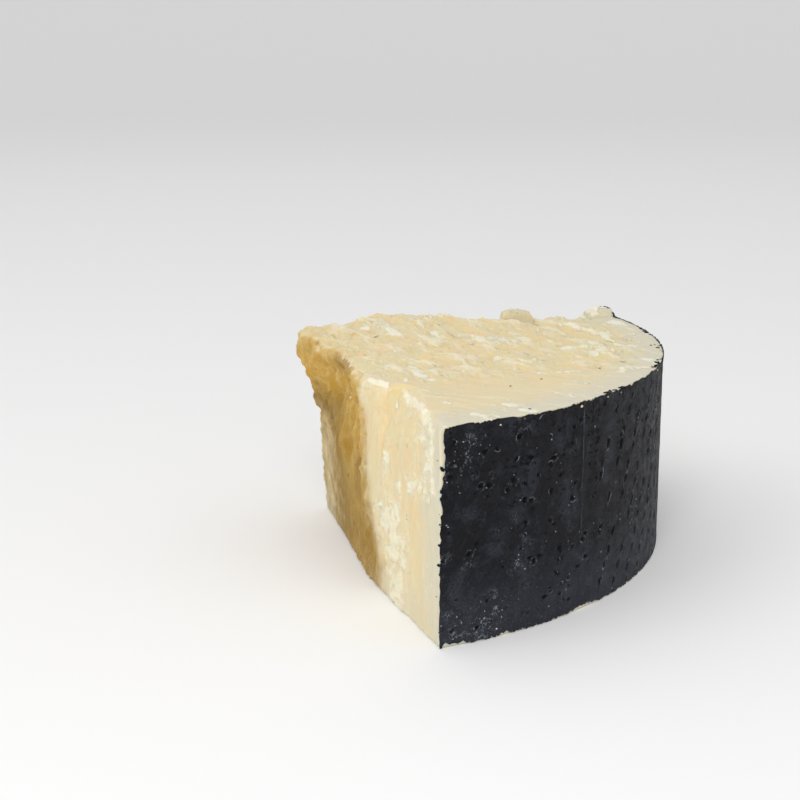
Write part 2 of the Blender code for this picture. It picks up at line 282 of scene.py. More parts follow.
# How far its edges stay from the chunk's: from the top, the break, and by height from the cut
TOP_MARGIN = 0.00005
BREAK_MARGIN = 0.0009
CUT_MARGINS = (
    (0.0, 0.0001),
    (0.030, 0.0002),
    (0.040, 0.0004),
    (0.050, 0.0009),
    (0.056, 0.0015),
    (0.070, 0.0016),
)
# The paste shows under the coat's lower edge: degrees round the wheel, and height
FOOT_HEIGHTS = (
    (-64.3, 0.0003),
    (-63.9, 0.0003),
    (-63.7, 0.0018),
    (-62.0, 0.0013),
    (-60.6, 0.0006),
    (-56.5, 0.0004),
    (-55.0, 0.0011),
    (-53.6, 0.0005),
    (-47.0, 0.0004),
    (-44.0, 0.0008),
    (-42.0, 0.0014),
    (-39.5, 0.0011),
    (-37.0, 0.0006),
    (-34.5, 0.0004),
    (25.0, 0.0005),
)
LEAST_FOOT = 0.00015
# How far below the rim it ends: degrees round the wheel, and depth. It rises on the last lump
RIM_DEPTHS = (
    (-64.3, 0.0004),
    (-61.9, 0.0003),
    (-61.5, 0.0),
    (-57.0, 0.0),
    (-53.0, 0.0004),
    (-46.0, 0.0005),
    (-43.0, 0.0),
    (20.9, 0.0),
    (21.7, -0.0014),
    (23.0, -0.0019),
    (24.1, -0.0015),
    (24.7, 0.0),
)
EDGE_RAGS = (0.00085, 0.0006)  # how far its edges stray, and how finely
TOP_RAGS = (1.3, 0.0003)  # at the rim: the share of that, and the furthest up
BREAK_RAGS = 2.2  # by the break they stray this much more
LEAST_EDGE = 0.00010
COAT_SWELL = (0.00016, 0.012)
LIP_HEIGHT = 0.00012  # of the raised lip round a dimple
SEAM_DEGREES = -42.0
SEAM = (0.00013, 0.00035)  # its height and half-width
DOT_DEGREES = (-38.5, -12.5)  # rows of dimples are pressed in between these
DOT_ROW_STEP = 0.0105
DOT_STEP = 0.0052
DOT_ROW_LEAN = 0.50  # a row goes sideways this much for each metre up
DOT_SIZE = (0.0008, 0.0017)
DOT_STRAY = (-0.0007, 0.0007)
DOTS_LEFT = 0.86  # the share of the dimples that haven't worn away
DOT_CLEAR = (0.004, 0.003)  # how far the rows stay from the base and the rim
SINGLE_PITS = (74, 70)  # how many single pits lie left of the seam, and right of the rows
PIT_SIZE = (0.0004, 0.0009)
PIT_HEIGHTS = (0.004, 0.066)
DIMPLE_RAGS = (0.75, 0.0016)
SEED = 11

PIECES_COLLECTION = "pecorino_romano_chunk"


def towards(heading):
    """The level direction of a heading."""
    return Vector((math.cos(heading), math.sin(heading), 0.0))


UP = Vector((0.0, 0.0, 1.0))
CUT_ALONG = towards(CUT_HEADING)
CUT_OUT = Vector((-CUT_ALONG.y, CUT_ALONG.x, 0.0))
BREAK_ALONG = towards(BREAK_HEADING)
BREAK_OUT = Vector((-BREAK_ALONG.y, BREAK_ALONG.x, 0.0))
# The wheel's axis in the part's frame, from the solid's box
AXIS = Vector((CAD_HIGH.x - WHEEL_RADIUS, CAD_LOW.y - FRONT_CORNER.y - CORNER_WORN, 0.0))

# The fitted viewpoint, from the wheel's axis
CAMERA_PLACE = Vector((0.0536, -0.6140, 0.1868))
CAMERA_DIP = math.radians(12.79)
CAMERA_LENS = 74.84
CAMERA_SENSOR = 36.0


# ---- What a user can change ----


class CheeseShape(bpy.types.PropertyGroup):
    """Sizes and counts of the chunk's fine surface."""

    skin_scale: bpy.props.FloatProperty(
        name="Skin fineness", description="How much of the finest skin is used; more is finer", default=0.72
    )
    most_triangles: bpy.props.IntProperty(
        name="Most triangles", description="Triangles that the paste keeps", default=186000
    )
    coat_cell: bpy.props.FloatProperty(
        name="Coat cell", description="Size of one square of the rind's skin", default=0.00052, unit="LENGTH"
    )
    pit_depth: bpy.props.FloatProperty(
        name="Pit depth", description="How deep the rind's dimples are", default=0.0007, unit="LENGTH"
    )
    flake_density: bpy.props.FloatProperty(
        name="Flakes", description="Flakes on each square metre of torn paste", default=90000.0
    )
    flake_length: bpy.props.FloatProperty(
        name="Flake length", description="Length of a middling flake", default=0.0023, unit="LENGTH"
    )
    crumb_density: bpy.props.FloatProperty(
        name="Crumbs", description="Crumbs on each square metre of broken paste", default=100000.0
    )
    crumb_size: bpy.props.FloatProperty(
        name="Crumb size", description="Width of a middling crumb", default=0.0008, unit="LENGTH"
    )
    chip_density: bpy.props.FloatProperty(
        name="Rind chips", description="Black chips on each square metre of the torn rim", default=500000.0
    )
    bloom_density: bpy.props.FloatProperty(
        name="Bloom specks", description="Pale specks on each square metre of rind", default=60000.0
    )


def tint(name, description, red, green, blue):
    """A colour that can be set in the panel."""
    return bpy.props.FloatVectorProperty(
        name=name, description=description, subtype="COLOR", size=4, default=(red, green, blue, 1.0)
    )


class CheeseColors(bpy.types.PropertyGroup):
    """Colours of the chunk's finishes."""

    straw: tint("Straw", "The paste", 0.79, 0.672, 0.408)
    peach: tint("Peach", "Warmer paste", 0.82, 0.645, 0.370)
    whitish: tint("Whitish", "Smears and flakes", 0.90, 0.845, 0.66)
    near_rind: tint("Near rind", "Paste by the rind", 0.700, 0.655, 0.505)
    # Ochre is partly deeper paste and partly painted shade; brown is painted shade, and tan is painted
    # shadow on the lower broken part
    ochre: tint("Ochre", "Deep paste in the hollows", 0.50, 0.295, 0.045)
    painted_shade_brown: tint("Brown", "Deepest in the hollows", 0.25, 0.142, 0.024)
    tan: tint("Tan", "Dry broken paste", 0.275, 0.170, 0.042)
    coat: tint("Coat", "The black rind coat", 0.0068, 0.0067, 0.0092)
    bloom: tint("Bloom", "Dull bloom on the rind", 0.052, 0.057, 0.074)
    floor: tint("Floor", "The studio floor", 0.97, 0.97, 0.97)


# ---- Shape ----


def new_object(name, mesh):
    obj = bpy.data.objects.new(name, mesh)
    collection = bpy.data.collections.get(PIECES_COLLECTION)
    if collection is None:
        collection = bpy.data.collections.new(PIECES_COLLECTION)
        bpy.context.scene.collection.children.link(collection)
    collection.objects.link(obj)
    return obj


def object_of(name, bm):
    mesh = bpy.data.meshes.new(name)
    bm.to_mesh(mesh)
    bm.free()
    return new_object(name, mesh)


def drop(obj):
    mesh = obj.data
    bpy.data.objects.remove(obj)
    bpy.data.meshes.remove(mesh)


def applied(obj):
    """Its modifiers become its mesh."""
    graph = bpy.context.evaluated_depsgraph_get()
    mesh = bpy.data.meshes.new_from_object(obj.evaluated_get(graph))
    obj.modifiers.clear()
    old = obj.data
    obj.data = mesh
    bpy.data.meshes.remove(old)
    mesh.name = obj.name


def basis(along, out, origin):
    """A matrix whose X axis is along, and whose Y axis points out of the cheese."""
    matrix = Matrix((along, out, along.cross(out))).transposed().to_4x4()
    matrix.translation = origin
    return matrix


BELOW = 0.006  # the body is made this much too deep, and then cut flat on the floor
CUTTER_SIZE = 0.30
WHEEL_SEGMENTS = 200
TOLERANCE = 0.01


def wheel_slab():
    bm = bmesh.new()
    height = SLAB_HEIGHT + BELOW
    radius = WHEEL_RADIUS - EDGE_THICKNESS
    bmesh.ops.create_cone(
        bm,
        cap_ends=True,
        segments=WHEEL_SEGMENTS,
        radius1=radius - WHEEL_TAPER,
        radius2=radius,
        depth=height,
        matrix=Matrix.Translation((0.0, 0.0, height / 2 - BELOW)),
    )
    return object_of("paste", bm)


def blade(name, along, out, point):
    """A block whose near face is the cut: it takes away all that lies beyond it."""
    bm = bmesh.new()
    bmesh.ops.create_cube(bm, size=CUTTER_SIZE)
    bmesh.ops.scale(bm, verts=bm.verts, vec=(2.0, 1.0, 1.0))
    bmesh.ops.translate(bm, verts=bm.verts, vec=(0.0, CUTTER_SIZE / 2, 0.0))
    bmesh.ops.transform(bm, verts=bm.verts, matrix=basis(along, out, point))
    return object_of(name, bm)


def lump(name, along, depth, height, half_sizes):
    """A lumpy block with round corners, on the far edge."""
    point = APEX + BREAK_ALONG * along - BREAK_OUT * depth + UP * height
    bm = bmesh.new()
    bmesh.ops.create_icosphere(bm, subdivisions=4, radius=1.0)
    amount, width = LUMP_SWELL
    for vert in bm.verts:
        swell = 1.0 + amount * noise.fractal(vert.co / width + point / half_sizes[0], 1.0, 2.0, 2)
        vert.co = Vector(
            math.copysign(abs(value) ** LUMP_ROUNDNESS, value) * size * swell
            for value, size in zip(vert.co, half_sizes)
        )
    bmesh.ops.transform(bm, verts=bm.verts, matrix=basis(BREAK_ALONG, BREAK_OUT, point))
    for vert in bm.verts:
        inward = min(1.0, (WHEEL_RADIUS - EDGE_THICKNESS) / math.hypot(vert.co.x, vert.co.y))
        vert.co = Vector((vert.co.x * inward, vert.co.y * inward, vert.co.z))
    return object_of(name, bm)


def combine(body, other, operation):
    boolean = body.modifiers.new(other.name, "BOOLEAN")
    boolean.operation = operation
    boolean.solver = "EXACT"
    boolean.object = other


def mesh_arrays(mesh):
    points = np.empty(len(mesh.vertices) * 3)
    normals = np.empty(len(mesh.vertices) * 3)
    mesh.vertices.foreach_get("co", points)
    mesh.vertices.foreach_get("normal", normals)
    return points.reshape(-1, 3), normals.reshape(-1, 3)


def set_points(mesh, points):
    mesh.vertices.foreach_set("co", points.reshape(-1))
    mesh.update()


def lumps(points, sizes, octaves=2, stretch=(1.0, 1.0, 1.0)):
    """Smooth lumps of a height and a width, at each point."""
    height, width = sizes
    scaled = points / (width * np.array(stretch))
    return height * np.array([noise.fractal(point, 1.0, 2.1, octaves) for point in scaled.tolist()])


def step(value, low, high):
    share = np.clip((value - low) / (high - low), 0.0, 1.0)
    return share * share * (3.0 - 2.0 * share)


def bell(value, width):
    return np.exp(-((value / width) ** 2))


def layers(relief, height):
    """The relief as flat layers, with short steps between them."""
    level = relief / height
    floor = np.floor(level)
    return height * (floor + step(level - floor, 0.5 - LAYER_SLOPE / 2, 0.5 + LAYER_SLOPE / 2))


def faces(normals, direction, low=0.25, high=0.75):
    """1 where the skin looks that way, 0 where it doesn't."""
    return step((normals * np.array(direction)).sum(axis=1), low, high)


# How much a face looks up or sideways where it starts to count as the top or a side, and where it fully does
TOP_FACING = (0.35, 0.75)
SIDE_FACING = (0.1, 0.6)


class Surroundings:
    """Where each point lies: along and inside the cut and the break, below the top, and inside the rind."""

    def __init__(self, points, radius=WHEEL_RADIUS - EDGE_THICKNESS):
        flat = points - np.array(FRONT_CORNER)
        self.along_cut = flat @ np.array(CUT_ALONG)
        self.inside_cut = -(flat @ np.array(CUT_OUT))
        flat = points - np.array(APEX)
        self.along_break = flat @ np.array(BREAK_ALONG)
        self.inside_break = -(flat @ np.array(BREAK_OUT))
        self.height = points[:, 2]
        self.below_top = SLAB_HEIGHT - self.height
        taper = WHEEL_TAPER * (1.0 - self.height / SLAB_HEIGHT)
        self.inside_rind = radius - taper - np.hypot(points[:, 0], points[:, 1])


def wear(points, first, second, sloping=False):
    """Wears an edge away. Each face is given as the points' depth inside it, its direction, and the reach.

    The worn surface is round, or where sloping it runs smoothly into the first face and ends at the
    second.
    """
    near = [1.0 - depth / reach for depth, _, reach in (first, second)]
    at_edge = (np.minimum(*near) > 0.0) & (np.maximum(*near) < 1.0 + TOLERANCE)
    near = [np.maximum(value, TOLERANCE) for value in near]
    if sloping:
        square = near[1] * near[1]
        shrink = (np.sqrt(near[0] * near[0] + 4.0 * square) - near[0]) / (2.0 * square)
    else:
        shrink = 1.0 / np.hypot(near[0], near[1])
    moved = np.where(at_edge & (shrink < 1.0), shrink - 1.0, 0.0)
    for value, (_, outward, reach) in zip(near, (first, second)):
        points += outward * (value * moved * reach)[:, None]


def radially(points):
    flat = points * np.array((1.0, 1.0, 0.0))
    return flat / np.linalg.norm(flat, axis=1)[:, None]


def degrees_round(points):
    return np.degrees(np.arctan2(points[:, 1], points[:, 0]))


def wear_edges(points, normals):
    """Rounds the body's own edges: that of the cut and the top is lost the most."""
    up = np.array(UP)
    cut_out = np.array(CUT_OUT)
    radial = radially(points)
    place = Surroundings(points)
    loss = np.interp(place.along_cut, *zip(*EDGE_LOSS))
    cut = (place.inside_cut, cut_out, loss)
    wear(points, cut, (place.below_top, up, loss * EDGE_LOSS_DROP), sloping=True)
    far = (place.inside_break, np.array(BREAK_OUT), BREAK_WEAR)
    wear(points, far, (place.below_top, up, BREAK_WEAR))
    place = Surroundings(points)
    wear(points, (place.inside_rind, radial, RIM_WEAR), (place.below_top, up, RIM_WEAR))
    place = Surroundings(points)
    wear(points, (place.inside_rind, radial, CORNER_WEAR), (place.inside_cut, cut_out, CORNER_WEAR))

    low = np.clip((BASE_WEAR - place.height) / BASE_WEAR, 0.0, 1.0)
    inset = BASE_WEAR * (1.0 - np.sqrt(1.0 - low * low))
    for outward, share in ((cut_out, 1.0), (radial, BASE_WEAR_ROUND)):
        points -= outward * (share * inset * faces(normals, outward))[:, None]


def past_ridge(place):
    """How far each point lies past the ridge, along the cut."""
    shift, low, high = RIDGE_SHIFT
    ridge = RIDGE_FOOT + shift * step(place.height, low, high)
    lean, low, high = RIDGE_LEAN
    return place.along_cut - ridge - lean * step(place.height, low, high)


def setback(place, waver):
    """How far the left side lies behind the knife's cut."""
    past = past_ridge(place) + waver
    softness = np.interp(place.height, *zip(*RIDGE_SOFTNESS))
    rounded = (past + np.hypot(past, softness)) / 2
    share = np.clip(rounded / (CUT_LENGTH - (place.along_cut - past)), 0.0, 1.0)
    lip = 1.0 - step(place.height, *TIP_LIP)
    total = (TIP_SETBACK - TIP_LEAN * place.height) * lip * share
    for along, height, depth, half_along, half_up in HOLLOWS.values():
        reach = bell(place.along_cut - along, half_along) * bell(place.height - height, half_up)
        total += depth * reach * step(past, 0.0, HOLLOW_WALL)
    return total


def break_left_side(points):
    """Moves the broken part of the left side back from the cut, and what lies behind it less and less."""
    place = Surroundings(points)
    fade = 1.0 - np.clip(place.inside_cut / WARP_REACH, 0.0, 1.0)
    near = fade > 0.0
    waver = np.zeros(len(points))
    teeth = 1.0 - step(place.height[near], *SMOOTH_RIDGE)
    waver[near] = lumps(points[near], RIDGE_WAVER) + lumps(points[near], RIDGE_TEETH) * teeth
    moved = setback(place, waver) * fade * fade
    points -= np.outer(moved, np.array(CUT_OUT))


def roll_over(mesh, points):
    """Rounds the lip between the top and the hollow under it: each point is drawn towards its neighbours."""
    place = Surroundings(points)
    weight = ROLLED_STRENGTH * step(place.along_cut, *ROLLED_ALONG) * step(place.height, *ROLLED_ABOVE)
    weight *= 1.0 - step(place.inside_cut, *ROLLED_INSIDE)
    ends = np.empty(len(mesh.edges) * 2, np.int32)
    mesh.edges.foreach_get("vertices", ends)
    first, second = ends.reshape(-1, 2).T
    count = len(points)
    neighbours = np.bincount(first, minlength=count) + np.bincount(second, minlength=count)
    for _ in range(ROLLED_ROUNDS):
        for axis in range(3):
            values = points[:, axis]
            total = np.bincount(first, values[second], count) + np.bincount(second, values[first], count)
            points[:, axis] += weight * (total / neighbours - values)


def top_rise(place):
    """How far the top stands over SLAB_HEIGHT."""
    centre, height, left, right, forward = HILL
    offset = place.along_break - centre
    width = np.where(offset < 0, left, right)
    rise = height * bell(offset, width) * bell(place.inside_break, forward)
    for centre, height, width, forward in EDGE_BUMPS:
        rise += height * bell(place.along_break - centre, width) * bell(place.inside_break, forward)
    return rise


def turned(points, heading):
    """The points seen along a heading on the floor: X runs that way."""
    turn = np.array(Matrix.Rotation(-heading, 3, "Z"))
    return points @ turn.T


def torn_share(place):
    """1 on the torn part of the top, and 0 on its smooth band and by the rind."""
    torn = step(place.inside_cut, *TORN_INSIDE_CUT) * step(place.along_cut, *TORN_ALONG_CUT)
    return torn * step(place.inside_rind, *TORN_INSIDE_RIND)


def flaking_share(place):
    """The same for the finer layers and flakes, which reach nearer the edges."""
    torn = step(place.inside_cut, *FLAKING_INSIDE_CUT) * step(place.along_cut, *FLAKING_ALONG_CUT)
    return torn * step(place.inside_rind, *TORN_INSIDE_RIND)


def patch(across, along, half_across, half_along, tilt):
    """1 in the middle of an oval patch, 0 on its outline, and less outside."""
    turn = math.radians(tilt)
    first = (across * math.cos(turn) + along * math.sin(turn)) / half_across
    second = (along * math.cos(turn) - across * math.sin(turn)) / half_along
    return np.maximum(1.0 - np.hypot(first, second), -1.0)


def stroke(across, along, route, half_width):
    """The same for a line through the points of a route."""
    best = np.full(len(across), -1.0)
    for (x0, y0), (x1, y1) in zip(route, route[1:]):
        length = (x1 - x0) ** 2 + (y1 - y0) ** 2
        share = np.clip(((across - x0) * (x1 - x0) + (along - y0) * (y1 - y0)) / length, 0.0, 1.0)
        away = np.hypot(across - x0 - share * (x1 - x0), along - y0 - share * (y1 - y0))
        best = np.maximum(best, 1.0 - away / half_width)
    return np.maximum(best, -1.0)


def smear_field(points, place, on_top, on_cut):
    """1 in the middle of a whitish smear, 0 on its ragged outline, -1 away from all of them."""
    nowhere = np.full(len(points), -1.0)
    top, top_line, cut = nowhere.copy(), nowhere.copy(), nowhere.copy()
    for (x, y), half_length, half_width, heading in TOP_SMEARS:
        top = np.maximum(top, patch(points[:, 0] - x, points[:, 1] - y, half_length, half_width, heading))
    for half_width, route in TOP_LINES:
        top_line = np.maximum(top_line, stroke(points[:, 0], points[:, 1], route, half_width))
    for along, height, half_along, half_up, tilt in CUT_SMEARS_SHOWN:
        shown = patch(place.along_cut - along, place.height - height, half_along, half_up, tilt)
        cut = np.maximum(cut, shown)
    cut_line = stroke(place.along_cut, place.height, PALE_LINE, PALE_LINE_HALF_WIDTH)
    shows_top = on_top > 0.05
    shows_cut = (on_cut > 0.1) & (on_top < 0.95)
    smears = np.maximum(np.where(shows_top, top, nowhere), np.where(shows_cut, cut, nowhere))
    lines = np.where(shows_top | shows_cut, top_line, nowhere)
    lines = np.maximum(lines, np.where(shows_cut, cut_line, nowhere))
    near = np.maximum(smears, lines) > -1.0
    stray = lumps(turned(points[near], SCALLOP_HEADING), SMEAR_RAGS, 4, (2.0, 1.0, 1.6))
    smears[near] += stray
    lines[near] += stray * LINE_RAGS
    return np.maximum(np.maximum(smears, lines), -1.0)


def masked(points, mask, relief):
    """A relief worked out only where the mask asks for it."""
    result = np.zeros(len(points))
    chosen = mask > 0.0
    result[chosen] = relief(points[chosen]) * mask[chosen]
    return result


LONG = (SCALLOP_LENGTH, 1.0, 1.0)  # how a pattern is drawn out
TALL = (1.0, 1.0, 2.0)
TALLER = (1.0, 1.0, 4.0)


def along_scallops(points):
    return turned(points, SCALLOP_HEADING) * np.array((1.0, 1.0, 0.0))


def carve(points, normals):
    """The relief: each face by its own, along its own direction."""
    place = Surroundings(points)
    up_facing = step(place.height, *TOP_ZONE)
    torn = torn_share(place)
    on_top = faces(normals, UP, *TOP_FACING)
    on_cut = faces(normals, CUT_OUT)
    on_break = faces(normals, BREAK_OUT)

    flat = along_scallops(points)
    rise = top_rise(place) + masked(flat, torn, lambda p: lumps(p, SCALLOPS, 2, LONG))
    points[:, 2] += rise * up_facing
    flaking = flaking_share(place)
    level = faces(normals, UP, 0.70, 0.95)
    fine_top = masked(flat, flaking * level, lambda p: layers(lumps(p, TOP_LAYERS, 4, LONG), TOP_LAYER_STEP))
    fine_top += masked(points, on_top * (0.3 + 0.7 * flaking), lambda p: lumps(p, TOP_GRAIN, 3))

    coated = step(place.inside_rind, 0.0, BREAK_LUMPS[1] / 2)
    broken = masked(points, on_break, lambda p: lumps(p, BREAK_LUMPS, 3)) * coated
    crags = masked(points, on_break, lambda p: layers(lumps(p, BREAK_CRAGS, 3), BREAK_CRAG_STEP))
    crags += masked(points, on_break, lambda p: lumps(p, BREAK_CRUMBS, 3))
    broken += crags * (0.35 + 0.65 * coated)

    loss = np.interp(place.along_cut, *zip(*EDGE_LOSS))
    lost = step(1.0 - place.inside_cut / loss, 0.0, 0.3)
    lost *= step(1.0 - place.below_top / loss / EDGE_LOSS_DROP, 0.0, 0.2)
    lost *= step(place.inside_rind, 0.001, 0.005)
    past = past_ridge(place)
    share, low, high = CHIPS_PAST_RIDGE
    lost *= 1.0 - share * step(past, low, high)
    chips = masked(points, lost, lambda p: layers(lumps(p, EDGE_CHIPS, 3), EDGE_CHIP_STEP))

    rough = step(past, *CRUMB_START) * step(place.height, *CRUMB_ZONE)
    lobed = rough * on_cut * (1.0 - 0.6 * step(place.height, 0.059, 0.067))
    uneven = chips + masked(points, lobed, lambda p: lumps(p, CRUMBS, 3) + lumps(p, HOLLOW_LOBES, 2))
    uneven += masked(points, lobed, lambda p: lumps(p, FINE_CRUMBS, 3))
    smooth = on_cut * (1.0 - rough)
    grained = smooth * step(past, *GRAIN_START)
    uneven += masked(points, grained, lambda p: lumps(p, LOW_GRAIN, 4))
    uneven += masked(points, smooth, lambda p: lumps(p, CUT_WAVES, 2, TALL))
    smears = masked(points, smooth, lambda p: layers(lumps(p, CUT_SMEARS, 3, TALLER), CUT_SMEAR_STEP))
    uneven += smears * (1.0 - step(past, *SMEARS_END))
    for along, height, half_along, half_up in CUT_SLOTS:
        slot = patch(place.along_cut - along, place.height - height, half_along, half_up, 0.0)
        uneven -= SLOT_DEPTH * step(slot, 0.0, 0.6) * on_cut

    field = smear_field(points, place, on_top, on_cut)
    smear = step(field, 0.0, 0.35) * SMEAR_HEIGHT
    ragged = step(field, -0.5, 0.1) * on_cut * (1.0 - on_top)
    uneven += masked(points, ragged, lambda p: layers(lumps(p, BAND_CRUMBS, 3), BAND_CRUMBS[0] / 3))
    tip = step(past, *TIP_ALONG) * step(place.height, *TIP_ABOVE)
    tip *= 1.0 - step(place.inside_cut, *TIP_INSIDE)
    points += normals * masked(points, tip, lambda p: lumps(p, TIP_LUMPS, 3))[:, None]
    points += np.outer(fine_top + smear * (on_top > 0.5), np.array(UP))
    points += np.outer(broken, np.array(BREAK_OUT))
    points += np.outer(uneven + smear * (on_cut > 0.5) * (on_top <= 0.5), np.array(CUT_OUT))


def under_coat(points, normals):
    """Paste under the coat lies deeper, so that the coat's dimples stay clear of it."""
    place = Surroundings(points)
    looks_out = faces(normals, radially(points))
    degrees = degrees_round(points)
    foot = np.interp(degrees, *zip(*FOOT_HEIGHTS))
    rim = TOP_MARGIN + np.interp(degrees, *zip(*RIM_DEPTHS))
    to_edge = np.minimum(place.height - foot, place.below_top - rim)
    bare = np.interp(place.height, *zip(*CUT_MARGINS))
    to_edge = np.minimum(to_edge, np.minimum(place.inside_cut - bare, place.inside_break - BREAK_MARGIN))
    deeper = (BODY_THICKNESS - EDGE_THICKNESS) * step(to_edge, *THICKENS_WITHIN) * looks_out
    points -= radially(points) * deeper[:, None]


def cut_flat(mesh):
    """The base: all below the floor goes, and one flat face closes the body."""
    bm = bmesh.new()
    bm.from_mesh(mesh)
    everything = bm.verts[:] + bm.edges[:] + bm.faces[:]
    cut = bmesh.ops.bisect_plane(bm, geom=everything, plane_co=FRONT_CORNER, plane_no=-UP, clear_outer=True)
    rim = [item for item in cut["geom_cut"] if isinstance(item, bmesh.types.BMEdge)]
    bmesh.ops.triangle_fill(bm, edges=rim, normal=-UP, use_beauty=True)
    bm.to_mesh(mesh)
    bm.free()


def thin_out(body, most_triangles):
    body.data.calc_loop_triangles()
    fewer = body.modifiers.new("fewer", "DECIMATE")
    fewer.decimate_type = "COLLAPSE"
    fewer.ratio = min(1.0, most_triangles / len(body.data.loop_triangles))
    fewer.use_collapse_triangulate = True
    applied(body)


def keep_in_box(mesh):
    points, _ = mesh_arrays(mesh)
    set_points(mesh, np.clip(points, np.array(CAD_LOW), np.array(CAD_HIGH)))


def into_part(mesh):
    """Moves a mesh from the wheel's axis into the part's frame, and keeps it inside the solid's box."""
    points, _ = mesh_arrays(mesh)
    set_points(mesh, points + np.array(AXIS))
    keep_in_box(mesh)


def finished(name, mesh, material):
    """The piece with its finish, inside the solid's box."""
    keep_in_box(mesh)
    mesh.materials.clear()
    mesh.materials.append(material)
    mesh.shade_smooth()
    return new_object(name, mesh)


def store(mesh, name, values):
    attribute = mesh.attributes.new(name, "FLOAT", "POINT")
    attribute.data.foreach_set("value", np.asarray(values, np.float32))


# The ochre tone of the broken part of the left side, partly deeper paste and partly painted shade: height,
# and how deep it is there
OCHRE_BY_HEIGHT = ((0.0, 0.9), (0.020, 1.0), (0.056, 0.95), (0.066, 0.85), (0.072, 0.55), (0.0755, 0.1))
# Its edge at the ridge, a painted soft shadow edge: height, and how soft it is there
OCHRE_EDGE = ((0.0, 0.030), (0.026, 0.025), (0.036, 0.023), (0.052, 0.019), (0.062, 0.019), (0.073, 0.026))
OCHRE_START = 0.84  # the share of that softness which lies before the ridge
OCHRE_INSIDE = (0.014, 0.030)  # how far inside the cut it ends
OCHRE_UNDER_TOP = (0.058, 0.066)
OCHRE_BY_BREAK = (0.75, 0.5, 0.9)  # the share lost where the skin turns to the far side, and from when
OCHRE_LIP = 0.28  # its share on the lip over the hollow
# Painted shade in the darkest places of the hollows: along the cut, height, and half-sizes along and up
PAINTED_SHADE_SPOTS = (
    (0.1060, 0.0690, 0.0065, 0.0050),
    (0.1180, 0.0665, 0.0050, 0.0035),
    (0.0850, 0.0440, 0.0030, 0.0035),
    (0.0870, 0.0300, 0.0110, 0.0140),
    (0.0860, 0.0120, 0.0160, 0.0120),
)
# Where black chips of the coat lie on the rim: degrees round the wheel, how widely, and how many
CHIP_GROUPS = (
    (-34.6, 2.6, 1.0),
    (-17.6, 2.4, 0.9),
    (-49.5, 1.0, 0.5),
    (-58.0, 1.6, 0.25),
    (-4.0, 3.0, 0.5),
    (9.0, 2.0, 0.6),
    (22.5, 4.0, 0.35),
)
RIM_CHIPS_LEAST = 0.03  # between the groups
CORNER_CHIPS = 1.3  # along the coat's upright edge


